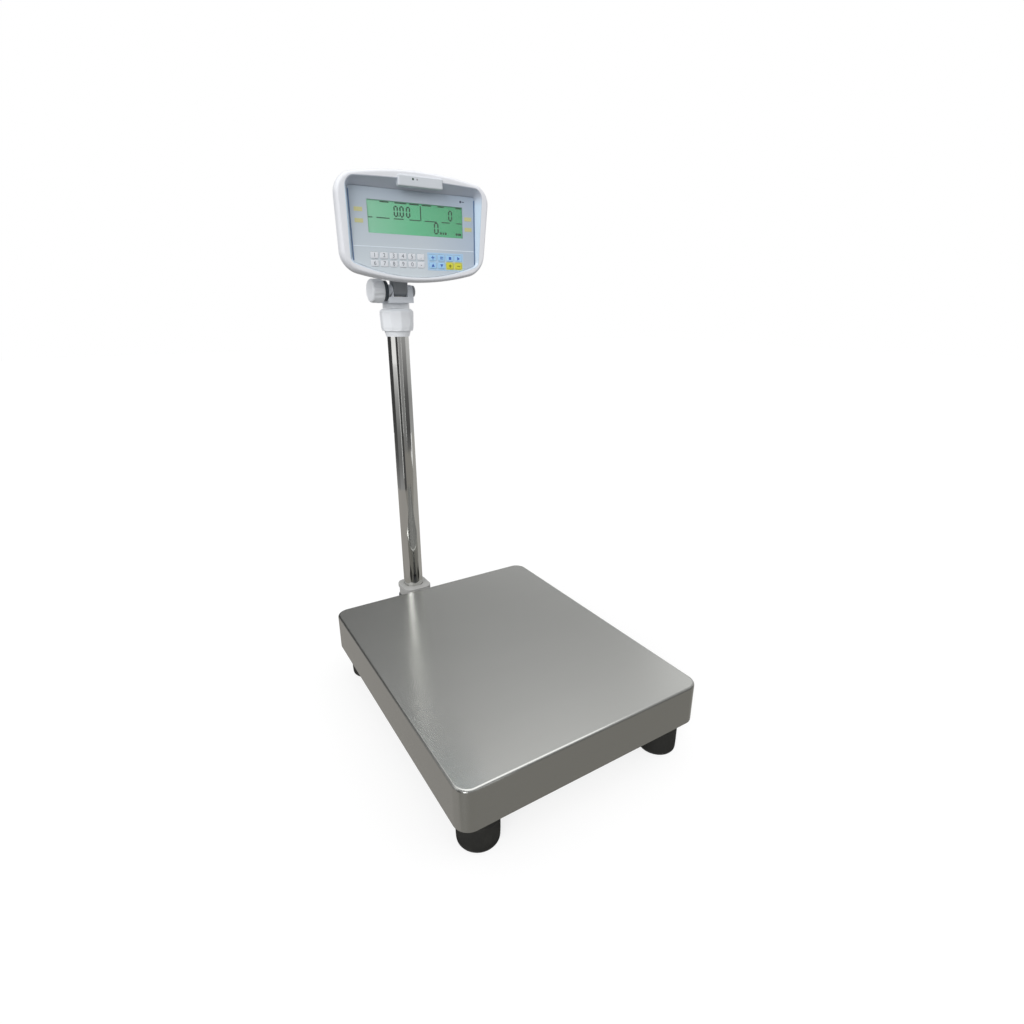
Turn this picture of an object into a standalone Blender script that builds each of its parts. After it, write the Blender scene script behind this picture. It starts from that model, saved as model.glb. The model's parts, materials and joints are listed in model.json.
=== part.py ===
"""Floor counting scale: a steel weighing platform on four levelling feet, with a pillar
behind it that carries a tilting counting indicator with a display and twenty keys.

All sizes are in metres. +Z is up, +Y points from the operator towards the pillar, the
floor is at z = 0 and the pillar and platform are centred on x = 0. The origin is the
middle of the whole scale's footprint.
"""

import math

import bmesh
import bpy
from mathutils import Matrix, Vector

# Gaps
FIT = 0.0003                # left between pieces that touch
RUN = 0.0003                # radial clearance round pins, studs and tubes
REACH = 0.02                # how far a cutter goes past what it cuts
SHARP_ANGLE = 32            # degrees, above which an edge looks sharp

# Weighing pan
PAN_WIDTH = 0.400
PAN_DEPTH = 0.500
PAN_SKIRT = 0.0635
PAN_SHEET = 0.0015
PAN_CORNER = 0.022
PAN_EDGE = 0.004

# Levelling feet
FOOT_RADIUS = 0.029
FOOT_HEIGHT = 0.048
FOOT_EDGE = 0.005
FOOT_INSET_X = 0.042        # pan's side to each foot's axis
FOOT_INSET_Y = 0.037        # pan's front or back to each foot's axis
STUD_RADIUS = 0.005
STUD_DEPTH = 0.026          # how far the stud sinks into its rubber pad
STUD_FLANGE = 0.003
STUD_FLANGE_RADIUS = 0.009
STUD_ABOVE_FLANGE = 0.028
LOCK_NUT = 0.003
LOCK_NUT_RADIUS = 0.0095

# Base frame
RAIL_HEIGHT = 0.020
RAIL_WIDTH = 0.040
RAIL_WALL = 0.003
RAIL_INSET = 0.024          # pan's side to the rails' ends
TRAY_WIDTH = 0.060
TRAY_DROP = 0.006           # the tray's floor lies this far below the rails' underside
TRAY_FLOOR = 0.006
TRAY_WALL = 0.004
FOOT_BOSS_RADIUS = 0.010
STOP_RADIUS = 0.005
STOP_INSET_X = 0.095        # pan's side to each stop
STOP_GAP = 0.0008           # overload stop to top frame

# Load cell
CELL_LENGTH = 0.150
CELL_WIDTH = 0.040
CELL_HEIGHT = 0.025
CELL_HOLE_RADIUS = 0.0075
CELL_HOLE_SPREAD = 0.019    # from the middle to each round hole
CELL_SLOT = 0.004
SPACER_HEIGHT = 0.0055
SPACER_LENGTH = 0.042
BOLT_RADIUS = 0.004
BOLT_DEPTH = 0.010          # thread in the load cell
BOLT_HEAD_RADIUS = 0.0065
BOLT_HEAD_HEIGHT = 0.0045
BOLT_PITCH = 0.022
BOLT_INSET = 0.021          # from the load cell's end to the middle of its bolts
BOLT_PLATE = 0.002

# Top frame and pan pads
TOP_RAIL_HEIGHT = 0.020
TOP_RAIL_WIDTH = 0.036
TOP_RAIL_WALL = 0.003
TOP_RAIL_INSET_X = 0.030    # pan's side to the rails' ends
TOP_RAIL_INSET_Y = 0.045    # pan's front or back to the rails' middles
TOP_SPINE_WIDTH = 0.060
STOP_BOSS_RADIUS = 0.008
PAD_RADIUS = 0.013
PAD_HEIGHT = 0.0091
PAD_INSET = 0.018           # rail's end to each pad's axis

# Bubble level
LEVEL_RADIUS = 0.009
LEVEL_HEIGHT = 0.008
LEVEL_INSET_X = 0.125       # pan's side to the level's axis

# Pillar and what holds it
PILLAR_STANDOFF = 0.117     # pan's back edge to the pillar's axis
PILLAR_RADIUS = 0.020
PILLAR_WALL = 0.0015
PILLAR_LENGTH = 0.5717
BRACKET_WIDTH = 0.068
BRACKET_HEIGHT = 0.022
BRACKET_WALL = 0.003
BRACKET_CLEARANCE = 0.0035  # bracket's top to the pan's skirt
BRACKET_BACK = 0.031        # pillar's axis to the bracket's end
STUB_HEIGHT = 0.060
STUB_BORE = 0.012
SOCKET_WIDTH = 0.060
SOCKET_FRONT = 0.034        # pillar's axis to the socket's front
SOCKET_BACK = 0.026
SOCKET_HEIGHT = 0.0247
SOCKET_CAP = 0.009
SOCKET_LIP = 0.002
SOCKET_CORNER = 0.016
SOCKET_ROUND = 0.0015

# Collar at the pillar's top
COLLAR_GRIP = 0.032         # the tube's length inside the collar
COLLAR_ROOF = 0.0167        # collar's top above the tube's end
COLLAR_FOOT_RADIUS = 0.0214
COLLAR_NECK_RADIUS = 0.0240
COLLAR_NECK_HEIGHT = 0.0085
COLLAR_STEP_RADIUS = 0.0285
COLLAR_STEP_HEIGHT = 0.0100
COLLAR_LOW_RADIUS = 0.0303
COLLAR_LOW_HEIGHT = 0.0160
COLLAR_RADIUS = 0.0315
COLLAR_SHOULDER_DROP = 0.0040
COLLAR_TOP_RADIUS = 0.0262

# Swivel yoke
SPIGOT_RADIUS = 0.010
SPIGOT_BORE = 0.006
SPIGOT_DEPTH = 0.021
YOKE_RING_RADIUS = 0.0245
YOKE_RING_HEIGHT = 0.0097
YOKE_BAR = 0.010
YOKE_X = -0.005             # the fork's middle lies left of the pillar's axis
YOKE_HALF_WIDTH = 0.0235
YOKE_CHEEK = 0.010
YOKE_EYE = 0.011
YOKE_FRONT = 0.002          # the bar's reach in front of the cheeks' eyes
YOKE_HEEL = 0.012           # the cheeks' reach behind their eyes, at the bar
YOKE_BACK = 0.022           # the bar's reach behind the pillar's axis
YOKE_SEAT = 0.001           # how far the cheeks are sunk in the bar

# Tilt hinge
HINGE_STANDOFF = 0.029      # hinge axis in front of the pillar's axis
HINGE_RISE = 0.010          # hinge axis above the yoke's bar
HINGE_BOLT_RADIUS = 0.004
HINGE_BOLT_END = 0.0005     # how far the bolt stands out of its nut
LUG_EYE_GAP = 0.0005
LUG_SIDE_GAP = 0.0006
LUG_HEEL = 0.012            # the lug's reach behind its eye, at the shell
LUG_SLOPE = 0.001
KNOB_RADIUS = 0.020
KNOB_LENGTH = 0.0235
KNOB_LOBES = 8
KNOB_FLUTE = 0.0012
KNOB_ROUND = 0.003
KNOB_BOLT_DEPTH = 0.015
WASHER_RADIUS = 0.0175
WASHER_LENGTH = 0.0065
NUT_RADIUS = 0.010
NUT_LENGTH = 0.0052
NUT_ROUND = 0.0015

# Indicator housing, given from its own middle line and the panel's front face
PANEL_STANDOFF = 0.110      # panel's front face in front of the pillar's axis
HOUSING_HALF_TOP = 0.133
HOUSING_HALF_BOTTOM = 0.1245
HOUSING_HEIGHT = 0.163
HOUSING_RISE = 0.012        # lowest point above the hinge axis
HOUSING_TOP_BULGE = 0.0150
HOUSING_BOTTOM_BULGE = 0.0185
HOUSING_TOP_CORNER = 0.026
HOUSING_BOTTOM_CORNER = 0.024
HOUSING_WALL = 0.0025
RIM_LEAN = 0.0963           # how far the rim's plane comes forward for each unit up
PARTING_LEAN = 0.158        # the same for the joint between bezel and shell
RIM_BOTTOM_OFFSET = -0.0012  # rim's plane from the panel's face, at the housing's lowest point
PARTING_BOTTOM_OFFSET = 0.0174
RIM_ROUND = 0.005
SHELL_DEPTH = 0.088         # panel's face to the shell's back
SHELL_BACK_HALF = 0.092
SHELL_BACK_WIDER = 0.004    # the back's upper edge against its lower one
SHELL_BACK_TOP_DROP = 0.040
SHELL_BACK_BOTTOM_RISE = 0.027
SHELL_BACK_ROUND = 0.006
LUG_NECK_FRONT = 0.0075

# Panel, its recess and the display
PANEL_THICKNESS = 0.0015
PANEL_HALF_TOP = 0.110
PANEL_HALF_BOTTOM = 0.109
PANEL_FROM_TOP = 0.0265     # housing's highest point to the panel's top edge
PANEL_FROM_BOTTOM = 0.008
PANEL_TOP_BULGE = 0.0005
PANEL_BOTTOM_BULGE = 0.0215
PANEL_CORNER = 0.005
RECESS_FLOOR = 0.0025
RECESS_SIDE = 0.006         # recess mouth wider than the panel at each side
RECESS_MOUTH_DROP = 0.014   # housing's highest point to the recess mouth
RECESS_MOUTH_BULGE = 0.0035
RECESS_MOUTH_CORNER = 0.014
RECESS_LIP = 0.001          # the mouth's wall starts this far behind the rim's plane
TAB_X = 0.005
TAB_HALF_WIDTH = 0.038
TAB_HEIGHT = 0.016
TAB_DEPTH = 0.012
TAB_FROM_TOP = 0.008
TAB_PROUD = 0.0025          # the tab's face in front of the rim's plane
TAB_ROUND = 0.0022
DISPLAY_X = 0.003
DISPLAY_WIDTH = 0.166
DISPLAY_HEIGHT = 0.047
DISPLAY_FROM_PANEL_TOP = 0.0175
MODULE_DEPTH = 0.008
MODULE_BORDER = 0.004
BOARD_THICKNESS = 0.0016
BOARD_WIDTH = 0.196
BOARD_HEIGHT = 0.104
BATTERY_SIZE = (0.097, 0.024, 0.052)
BATTERY_DROP = 0.016        # shell back's upper edge to the battery's top

# Keys
KEY_PITCH_X = 0.0160
KEY_PITCH_Z = 0.0120
KEY_ROWS = 2
NUMBER_COLUMNS = 6
FUNCTION_COLUMNS = 4
KEY_FIRST_X = -0.0735
KEY_BLOCK_GAP = 0.0215      # last number key to first function key
KEY_TOP_ROW_DROP = 0.0970   # panel's top edge to the middle of the upper row
KEY_WIDTH = 0.0132
KEY_HEIGHT = 0.0098
KEY_CORNER = 0.0020
KEY_PROUD = 0.0008
KEY_FLANGE = 0.0008
KEY_FLANGE_WIDER = 0.0008
KEY_TRAVEL = 0.0005
KEY_STEM_RADIUS = 0.0015
KEY_WELL_MARGIN = 0.0020

# Connectors on the shell's back
GLAND_RADIUS = 0.0075
GLAND_NUT_RADIUS = 0.0095
GLAND_LENGTH = 0.016
GLAND_BORE = 0.0018
GLAND_FLANGE = 0.003
INLET_RADIUS = 0.0065
INLET_FLANGE_RADIUS = 0.0085
INLET_FLANGE = 0.0015
INLET_BORE = 0.0030
INLET_DEPTH = 0.0070
INLET_PIN = 0.0011
INLET_PIN_DROP = 0.0010     # the pin's tip behind the shell's back
INLET_LENGTH = 0.010
PORT_WIDTH = 0.031
PORT_HEIGHT = 0.0125
PORT_DEPTH = 0.006          # behind the shell's wall
PORT_FLANGE = 0.001
PORT_SHELL = 0.006
PORT_POST_RADIUS = 0.0026
PORT_POST = 0.005
CONNECTOR_X = 0.055
CONNECTOR_RISE = 0.020      # above the shell back's lower edge

# Levels worked out from the stack of pieces, from the floor up
FLANGE_BOTTOM = FOOT_HEIGHT + FIT
NUT_BOTTOM = FLANGE_BOTTOM + STUD_FLANGE + FIT
FRAME_BOTTOM = NUT_BOTTOM + LOCK_NUT
FRAME_TOP = FRAME_BOTTOM + RAIL_HEIGHT
TRAY_TOP = FRAME_BOTTOM - TRAY_DROP
TRAY_BOTTOM = TRAY_TOP - TRAY_FLOOR
LOWER_SPACER = TRAY_TOP + FIT
CELL_BOTTOM = LOWER_SPACER + SPACER_HEIGHT + FIT
CELL_TOP = CELL_BOTTOM + CELL_HEIGHT
UPPER_SPACER = CELL_TOP + FIT
TOP_BOTTOM = UPPER_SPACER + SPACER_HEIGHT + FIT
TOP_TOP = TOP_BOTTOM + TOP_RAIL_HEIGHT
PAD_BOTTOM = TOP_TOP + FIT
PAN_UNDER = PAD_BOTTOM + PAD_HEIGHT + FIT
PAN_TOP = PAN_UNDER + PAN_SHEET
SKIRT_BOTTOM = PAN_TOP - PAN_SKIRT
BRACKET_TOP = SKIRT_BOTTOM - BRACKET_CLEARANCE
PILLAR_TOP = BRACKET_TOP + FIT + PILLAR_LENGTH
COLLAR_BOTTOM = PILLAR_TOP - COLLAR_GRIP
COLLAR_TOP = PILLAR_TOP + FIT + COLLAR_ROOF

# Places under the pan
RAIL_HALF_LENGTH = PAN_WIDTH / 2 - RAIL_INSET
FOOT_SPREAD_X = PAN_WIDTH / 2 - FOOT_INSET_X
FOOT_SPREAD_Y = PAN_DEPTH / 2 - FOOT_INSET_Y
STOP_SPREAD_X = PAN_WIDTH / 2 - STOP_INSET_X
TOP_RAIL_HALF_LENGTH = PAN_WIDTH / 2 - TOP_RAIL_INSET_X
TOP_SPREAD_Y = PAN_DEPTH / 2 - TOP_RAIL_INSET_Y
PAD_SPREAD_X = TOP_RAIL_HALF_LENGTH - PAD_INSET
LEVEL_X = LEVEL_INSET_X - PAN_WIDTH / 2

# Places along the depth
OVERALL_DEPTH = PAN_DEPTH + PILLAR_STANDOFF + BRACKET_BACK
PAN_Y = (PAN_DEPTH - OVERALL_DEPTH) / 2
PILLAR_Y = PAN_Y + PAN_DEPTH / 2 + PILLAR_STANDOFF
BACK_RAIL_Y = PAN_Y + FOOT_SPREAD_Y
BACK_RAIL_FRONT = BACK_RAIL_Y - RAIL_WIDTH / 2
FIXED_END_Y = PAN_Y - CELL_LENGTH / 2 + BOLT_INSET
FREE_END_Y = PAN_Y + CELL_LENGTH / 2 - BOLT_INSET

# Head and indicator
YOKE_BOTTOM = COLLAR_TOP + FIT
BAR_BOTTOM = YOKE_BOTTOM + YOKE_RING_HEIGHT
BAR_TOP = BAR_BOTTOM + YOKE_BAR
HINGE_Y = PILLAR_Y - HINGE_STANDOFF
HINGE_Z = BAR_TOP + HINGE_RISE
YOKE_LEFT = YOKE_X - YOKE_HALF_WIDTH
YOKE_RIGHT = YOKE_X + YOKE_HALF_WIDTH
LUG_HALF_WIDTH = YOKE_HALF_WIDTH - YOKE_CHEEK - LUG_SIDE_GAP
PANEL_Y = PILLAR_Y - PANEL_STANDOFF
HOUSING_BOTTOM = HINGE_Z + HOUSING_RISE
HOUSING_TOP = HOUSING_BOTTOM + HOUSING_HEIGHT
PANEL_TOP = HOUSING_TOP - PANEL_FROM_TOP
PANEL_BOTTOM = HOUSING_BOTTOM + PANEL_FROM_BOTTOM
DISPLAY_Z = PANEL_TOP - DISPLAY_FROM_PANEL_TOP - DISPLAY_HEIGHT / 2
KEY_TOP_Z = PANEL_TOP - KEY_TOP_ROW_DROP
PANEL_BACK_Y = PANEL_Y + PANEL_THICKNESS
FLOOR_Y = PANEL_BACK_Y + 2 * FIT + KEY_FLANGE       # recess floor's front face
FLOOR_BACK_Y = FLOOR_Y + RECESS_FLOOR
BOARD_Y = FLOOR_BACK_Y + MODULE_DEPTH + FIT
SHELL_BACK_Y = PANEL_Y + SHELL_DEPTH
SHELL_BACK_TOP = HOUSING_TOP - SHELL_BACK_TOP_DROP
SHELL_BACK_BOTTOM = HOUSING_BOTTOM + SHELL_BACK_BOTTOM_RISE
CONNECTOR_Z = SHELL_BACK_BOTTOM + CONNECTOR_RISE

# Name, colour, metallic, roughness
FINISHES = {
    "brushed_stainless": ((0.45, 0.45, 0.43), 1.0, 0.35),
    "polished_stainless": ((0.70, 0.70, 0.69), 1.0, 0.08),
    "painted_frame": ((0.20, 0.21, 0.22), 0.0, 0.45),
    "zinc_steel": ((0.55, 0.55, 0.53), 1.0, 0.30),
    "cell_aluminium": ((0.72, 0.73, 0.74), 1.0, 0.35),
    "black_rubber": ((0.03, 0.03, 0.03), 0.0, 0.80),
    "grey_plastic": ((0.72, 0.73, 0.74), 0.0, 0.40),
    "housing_plastic": ((0.86, 0.87, 0.88), 0.0, 0.35),
    "dark_plastic": ((0.10, 0.10, 0.11), 0.0, 0.50),
    "panel_film": ((0.52, 0.56, 0.66), 0.0, 0.40),
    "display_green": ((0.20, 0.52, 0.30), 0.0, 0.20),
    "display_glass": ((0.25, 0.60, 0.38), 0.0, 0.05),
    "board_green": ((0.05, 0.25, 0.12), 0.0, 0.50),
    "white_key": ((0.85, 0.86, 0.88), 0.0, 0.40),
    "blue_key": ((0.42, 0.66, 0.88), 0.0, 0.40),
    "yellow_key": ((0.86, 0.80, 0.18), 0.0, 0.40),
    "level_green": ((0.45, 0.75, 0.20), 0.0, 0.10),
}


def clear_scene():
    for obj in list(bpy.data.objects):
        bpy.data.objects.remove(obj, do_unlink=True)


def new_collection(name):
    group = bpy.data.collections.new(name)
    bpy.context.scene.collection.children.link(group)
    return group


def make_materials():
    made = {}
    for name, (colour, metallic, roughness) in FINISHES.items():
        finish = bpy.data.materials.new(name)
        finish.use_nodes = True
        shader = finish.node_tree.nodes["Principled BSDF"]
        shader.inputs["Base Color"].default_value = (*colour, 1.0)
        shader.inputs["Metallic"].default_value = metallic
        shader.inputs["Roughness"].default_value = roughness
        made[name] = finish
    return made


clear_scene()
PARTS = new_collection("floor_counting_scale")
TOOLS = new_collection("cutters")
MATERIALS = make_materials()


# Shapes

AXIS_TURNS = {
    "X": Matrix.Rotation(math.radians(90), 4, "Y"),
    "Y": Matrix.Rotation(math.radians(-90), 4, "X"),
    "Z": Matrix.Identity(4),
}


def place(name, mesh, finish, centre, axis="Z"):
    """Make an object of a mesh drawn round local Z, turned to lie along the given axis.
    Without a finish it is a tool that joins or cuts another piece."""
    obj = bpy.data.objects.new(name, mesh)
    mesh.transform(AXIS_TURNS[axis])
    obj.location = centre
    if finish:
        PARTS.objects.link(obj)
        mesh.materials.append(MATERIALS[finish])
    else:
        TOOLS.objects.link(obj)
        obj.hide_render = True
        obj.display_type = "WIRE"
    return obj


def mesh_from(name, build):
    """A mesh filled by a function that is given an empty bmesh."""
    mesh = bpy.data.meshes.new(name)
    shape = bmesh.new()
    build(shape)
    shape.to_mesh(mesh)
    shape.free()
    return mesh


def box(name, size, centre, finish=None):
    """A block with its full size along X, Y and Z."""
    def build(shape):
        bmesh.ops.create_cube(shape, size=1.0, matrix=Matrix.Diagonal((*size, 1.0)))
    return place(name, mesh_from(name, build), finish, centre)


def span_box(name, low, high, finish=None):
    """A block given by its lowest and highest corners."""
    size = [b - a for a, b in zip(low, high)]
    centre = [(a + b) / 2 for a, b in zip(low, high)]
    return box(name, size, centre, finish)


def rod(name, radius, low, high, centre, axis="Z", finish=None, sides=24):
    """A cylinder, or a prism with few sides, between two places along its axis."""
    def build(shape):
        bmesh.ops.create_cone(shape, cap_ends=True, segments=sides, radius1=radius,
                              radius2=radius, depth=high - low,
                              matrix=Matrix.Translation((0, 0, (low + high) / 2)))
    return place(name, mesh_from(name, build), finish, centre, axis)


def turned(name, profile, centre, axis="Z", finish=None, steps=32, ring=False):
    """A turned piece. The profile is radius and height, and runs down its outer side. A ring
    closes on itself, and any other profile starts and ends on the axis."""
    count = len(profile)
    edges = [(i, i + 1) for i in range(count - 1)]
    if ring:
        edges.append((count - 1, 0))
    mesh = bpy.data.meshes.new(name)
    mesh.from_pydata([(r, 0.0, z) for r, z in profile], edges, [])
    obj = place(name, mesh, finish, centre)
    screw = obj.modifiers.new("turn", "SCREW")
    screw.steps = steps
    screw.render_steps = steps
    screw.use_merge_vertices = True
    screw.merge_threshold = 0.00001
    weld = obj.modifiers.new("poles", "WELD")
    weld.merge_threshold = 0.00001
    obj.rotation_euler = AXIS_TURNS[axis].to_euler()
    return obj


def sheet(name, outline, low, high, centre, axis="Z", finish=None):
    """A flat outline given a thickness, between two places along its axis."""
    curve = bpy.data.curves.new(name, "CURVE")
    curve.dimensions = "2D"
    curve.fill_mode = "BOTH"
    curve.extrude = (high - low) / 2
    spline = curve.splines.new("POLY")
    spline.points.add(len(outline) - 1)
    for point, (u, v) in zip(spline.points, outline):
        point.co = (u, v, 0.0, 1.0)
    spline.use_cyclic_u = True
    guide = bpy.data.objects.new(name + "_outline", curve)
    bpy.context.scene.collection.objects.link(guide)
    view = bpy.context.evaluated_depsgraph_get()
    mesh = bpy.data.meshes.new_from_object(guide.evaluated_get(view))
    bpy.data.objects.remove(guide, do_unlink=True)
    bpy.data.curves.remove(curve)
    shape = bmesh.new()
    shape.from_mesh(mesh)
    bmesh.ops.remove_doubles(shape, verts=shape.verts, dist=0.000001)
    bmesh.ops.recalc_face_normals(shape, faces=shape.faces)
    bmesh.ops.translate(shape, verts=shape.verts, vec=(0, 0, (low + high) / 2))
    shape.to_mesh(mesh)
    shape.free()
    mesh.name = name
    return place(name, mesh, finish, centre, axis)


def loft(name, sections, finish=None):
    """A skin through sections that have the same number of points each, with flat ends."""
    def build(shape):
        rings = [[shape.verts.new(point) for point in section] for section in sections]
        count = len(rings[0])
        for near, far in zip(rings, rings[1:]):
            for i in range(count):
                j = (i + 1) % count
                shape.faces.new((near[i], near[j], far[j], far[i]))
        shape.faces.new(list(reversed(rings[0])))
        shape.faces.new(rings[-1])
        bmesh.ops.recalc_face_normals(shape, faces=shape.faces)
    return place(name, mesh_from(name, build), finish, (0, 0, 0))


def combine(obj, tool, operation):
    step = obj.modifiers.new(tool.name, "BOOLEAN")
    step.operation = operation
    step.solver = "EXACT"
    step.object = tool


def cut(obj, *tools):
    for tool in tools:
        combine(obj, tool, "DIFFERENCE")
    return obj


def join(obj, *tools):
    for tool in tools:
        combine(obj, tool, "UNION")
    return obj


def tidy(obj):
    """Close the hairline slivers that meeting faces leave."""
    weld = obj.modifiers.new("slivers", "WELD")
    weld.merge_threshold = 0.00003
    return obj


def soften(obj, width, segments=2, angle=30):
    """Round the edges that are sharper than the angle."""
    bevel = obj.modifiers.new("edges", "BEVEL")
    bevel.width = width
    bevel.segments = segments
    bevel.limit_method = "ANGLE"
    bevel.angle_limit = math.radians(angle)
    return obj


def anchor(name, where):
    """An empty on a joint's axis, for the pieces that move there."""
    empty = bpy.data.objects.new(name, None)
    empty.location = where
    empty.empty_display_size = 0.02
    PARTS.objects.link(empty)
    return empty


def hang(parent, *pieces):
    for piece in pieces:
        piece.parent = parent
        piece.location = Vector(piece.location) - Vector(parent.location)


# Outlines

def rounded_rectangle(width, depth, corner, steps=4):
    """Points round a rectangle with rounded corners, centred on the origin."""
    points = []
    for quarter, (sx, sy) in enumerate(((1, 1), (-1, 1), (-1, -1), (1, -1))):
        middle_u = sx * (width / 2 - corner)
        middle_v = sy * (depth / 2 - corner)
        for i in range(steps + 1):
            turn = math.radians(90) * (quarter + i / steps)
            points.append((middle_u + corner * math.cos(turn), middle_v + corner * math.sin(turn)))
    return points


def arc(middle_u, middle_v, radius, first, last, steps):
    """Points along an arc, with its angles in degrees."""
    points = []
    for i in range(steps + 1):
        turn = math.radians(first + (last - first) * i / steps)
        points.append((middle_u + radius * math.cos(turn), middle_v + radius * math.sin(turn)))
    return points


def crowned_outline(half_bottom, half_top, bottom, top, low_bulge, high_bulge, low_corner,
                    high_corner, across=8, round_steps=5):
    """The indicator's outline in X and Z, going round from the lower left. Its lower and upper
    edges are arcs that bulge by the given amounts, and its sides lean out towards the top."""
    right = _half_outline(half_bottom, half_top, bottom, top, low_bulge, high_bulge, low_corner,
                          high_corner, across // 2, round_steps)
    left = [(-x, z) for x, z in reversed(right[1:-1])]
    return right + left


def _half_outline(half_bottom, half_top, bottom, top, low_bulge, high_bulge, low_corner,
                  high_corner, steps, round_steps):
    """The right half of the crowned outline, from the middle of the lower edge up."""
    low_edge = half_bottom - low_corner
    high_edge = half_top - high_corner
    low_end = bottom + low_bulge * (low_edge / half_bottom) ** 2
    high_end = top - high_bulge * (high_edge / half_top) ** 2
    low_slope = 2 * low_bulge * low_edge / half_bottom ** 2
    high_slope = -2 * high_bulge * high_edge / half_top ** 2
    side = (half_top - half_bottom) / (top - bottom)
    points = []
    for i in range(steps):
        x = low_edge * i / steps
        points.append((x, bottom + low_bulge * (x / half_bottom) ** 2))
    low_kink = _kink(low_edge, low_end, low_slope, half_bottom, bottom, side)
    low_side = low_kink[1] + low_corner
    points += _corner((low_edge, low_end), low_kink,
                      (half_bottom + (low_side - bottom) * side, low_side), round_steps)
    high_kink = _kink(high_edge, high_end, high_slope, half_bottom, bottom, side)
    high_side = high_kink[1] - high_corner
    points += _corner((half_bottom + (high_side - bottom) * side, high_side), high_kink,
                      (high_edge, high_end), round_steps)
    for i in range(steps - 1, -1, -1):
        x = high_edge * i / steps
        points.append((x, top - high_bulge * (x / half_top) ** 2))
    return points


def _kink(x, z, slope, half_bottom, bottom, side):
    """Where the straight line on from an edge meets the leaning side."""
    reach = (half_bottom - x + side * (z - bottom)) / (1 - side * slope)
    return (x + reach, z + slope * reach)


def _corner(start, kink, end, steps):
    """A smooth corner from start to end, whose tangents meet at the kink."""
    pull = 0.5523
    first = [a + pull * (b - a) for a, b in zip(start, kink)]
    second = [a + pull * (b - a) for a, b in zip(end, kink)]
    points = []
    for i in range(steps + 1):
        t = i / steps
        weights = ((1 - t) ** 3, 3 * t * (1 - t) ** 2, 3 * t * t * (1 - t), t ** 3)
        points.append(tuple(sum(w * p[k] for w, p in zip(weights, (start, first, second, end)))
                            for k in (0, 1)))
    return points


def leaning_plane(bottom_offset, lean):
    """The y of a plane that comes forward towards the top of the housing."""
    return lambda z: PANEL_Y + bottom_offset - lean * (z - HOUSING_BOTTOM)


RIM_PLANE = leaning_plane(RIM_BOTTOM_OFFSET, RIM_LEAN)
PARTING_PLANE = leaning_plane(PARTING_BOTTOM_OFFSET, PARTING_LEAN)


def housing_outline(inset):
    return crowned_outline(HOUSING_HALF_BOTTOM - inset, HOUSING_HALF_TOP - inset,
                           HOUSING_BOTTOM + inset, HOUSING_TOP - inset, HOUSING_BOTTOM_BULGE,
                           HOUSING_TOP_BULGE, HOUSING_BOTTOM_CORNER - inset / 2,
                           HOUSING_TOP_CORNER - inset / 2)


def panel_outline(grow):
    return crowned_outline(PANEL_HALF_BOTTOM + grow, PANEL_HALF_TOP + grow,
                           PANEL_BOTTOM - grow, PANEL_TOP + grow, PANEL_BOTTOM_BULGE,
                           PANEL_TOP_BULGE, PANEL_CORNER + grow, PANEL_CORNER + grow)


def mouth_outline(grow):
    """The recess where it opens at the rim, under the hood."""
    return crowned_outline(PANEL_HALF_BOTTOM + RECESS_SIDE * 0.5 + grow,
                           PANEL_HALF_TOP + RECESS_SIDE + grow,
                           PANEL_BOTTOM - FIT - grow,
                           HOUSING_TOP - RECESS_MOUTH_DROP + grow, PANEL_BOTTOM_BULGE,
                           RECESS_MOUTH_BULGE, PANEL_CORNER + grow,
                           RECESS_MOUTH_CORNER + grow)


def at_plane(outline, plane):
    return [(x, plane(z), z) for x, z in outline]


def between_planes(outline, share):
    """The outline at a share of the way from the parting plane to the rim's plane."""
    return [(x, PARTING_PLANE(z) + share * (RIM_PLANE(z) - PARTING_PLANE(z)), z)
            for x, z in outline]


# Platform

def weighing_pan():
    """A tray of folded sheet, upside down, with welded round corners."""
    def build(shape):
        bmesh.ops.create_cube(shape, size=1.0,
                              matrix=Matrix.Diagonal((PAN_WIDTH, PAN_DEPTH, PAN_SKIRT, 1.0)))
        under = [face for face in shape.faces if face.normal.z < -0.5]
        bmesh.ops.delete(shape, geom=under, context="FACES_ONLY")
        upright = [edge for edge in shape.edges
                   if abs(edge.verts[0].co.z - edge.verts[1].co.z) > PAN_SKIRT / 2]
        bmesh.ops.bevel(shape, geom=upright, offset=PAN_CORNER, offset_type="OFFSET",
                        segments=6, profile=0.5, affect="EDGES")
        top = [edge for edge in shape.edges
               if all(vert.co.z > 0 for vert in edge.verts) and len(edge.link_faces) == 2
               and any(abs(face.normal.z) > 0.5 for face in edge.link_faces)]
        bmesh.ops.bevel(shape, geom=top, offset=PAN_EDGE, offset_type="OFFSET",
                        segments=3, profile=0.5, affect="EDGES")
    mesh = mesh_from("weighing_pan", build)
    pan = place("weighing_pan", mesh, "brushed_stainless", (0, PAN_Y, PAN_TOP - PAN_SKIRT / 2))
    skin = pan.modifiers.new("sheet", "SOLIDIFY")
    skin.thickness = PAN_SHEET
    skin.offset = -1.0
    skin.use_even_offset = True
    lift = anchor("pan_lift_axis", (0, PAN_Y, PAN_TOP))
    hang(lift, pan)


def corners(spread_x, spread_y):
    """The four corners' short names and places."""
    for end, sy in (("front", -1), ("back", 1)):
        for side, sx in (("left", -1), ("right", 1)):
            yield f"{end}_{side}", sx * spread_x, PAN_Y + sy * spread_y


def channel_cutter(name, width, length, wall, low, high, x, y):
    return span_box(name, (x - width / 2 + wall, y - length / 2 + wall, low),
                    (x + width / 2 - wall, y + length / 2 - wall, high))


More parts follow.
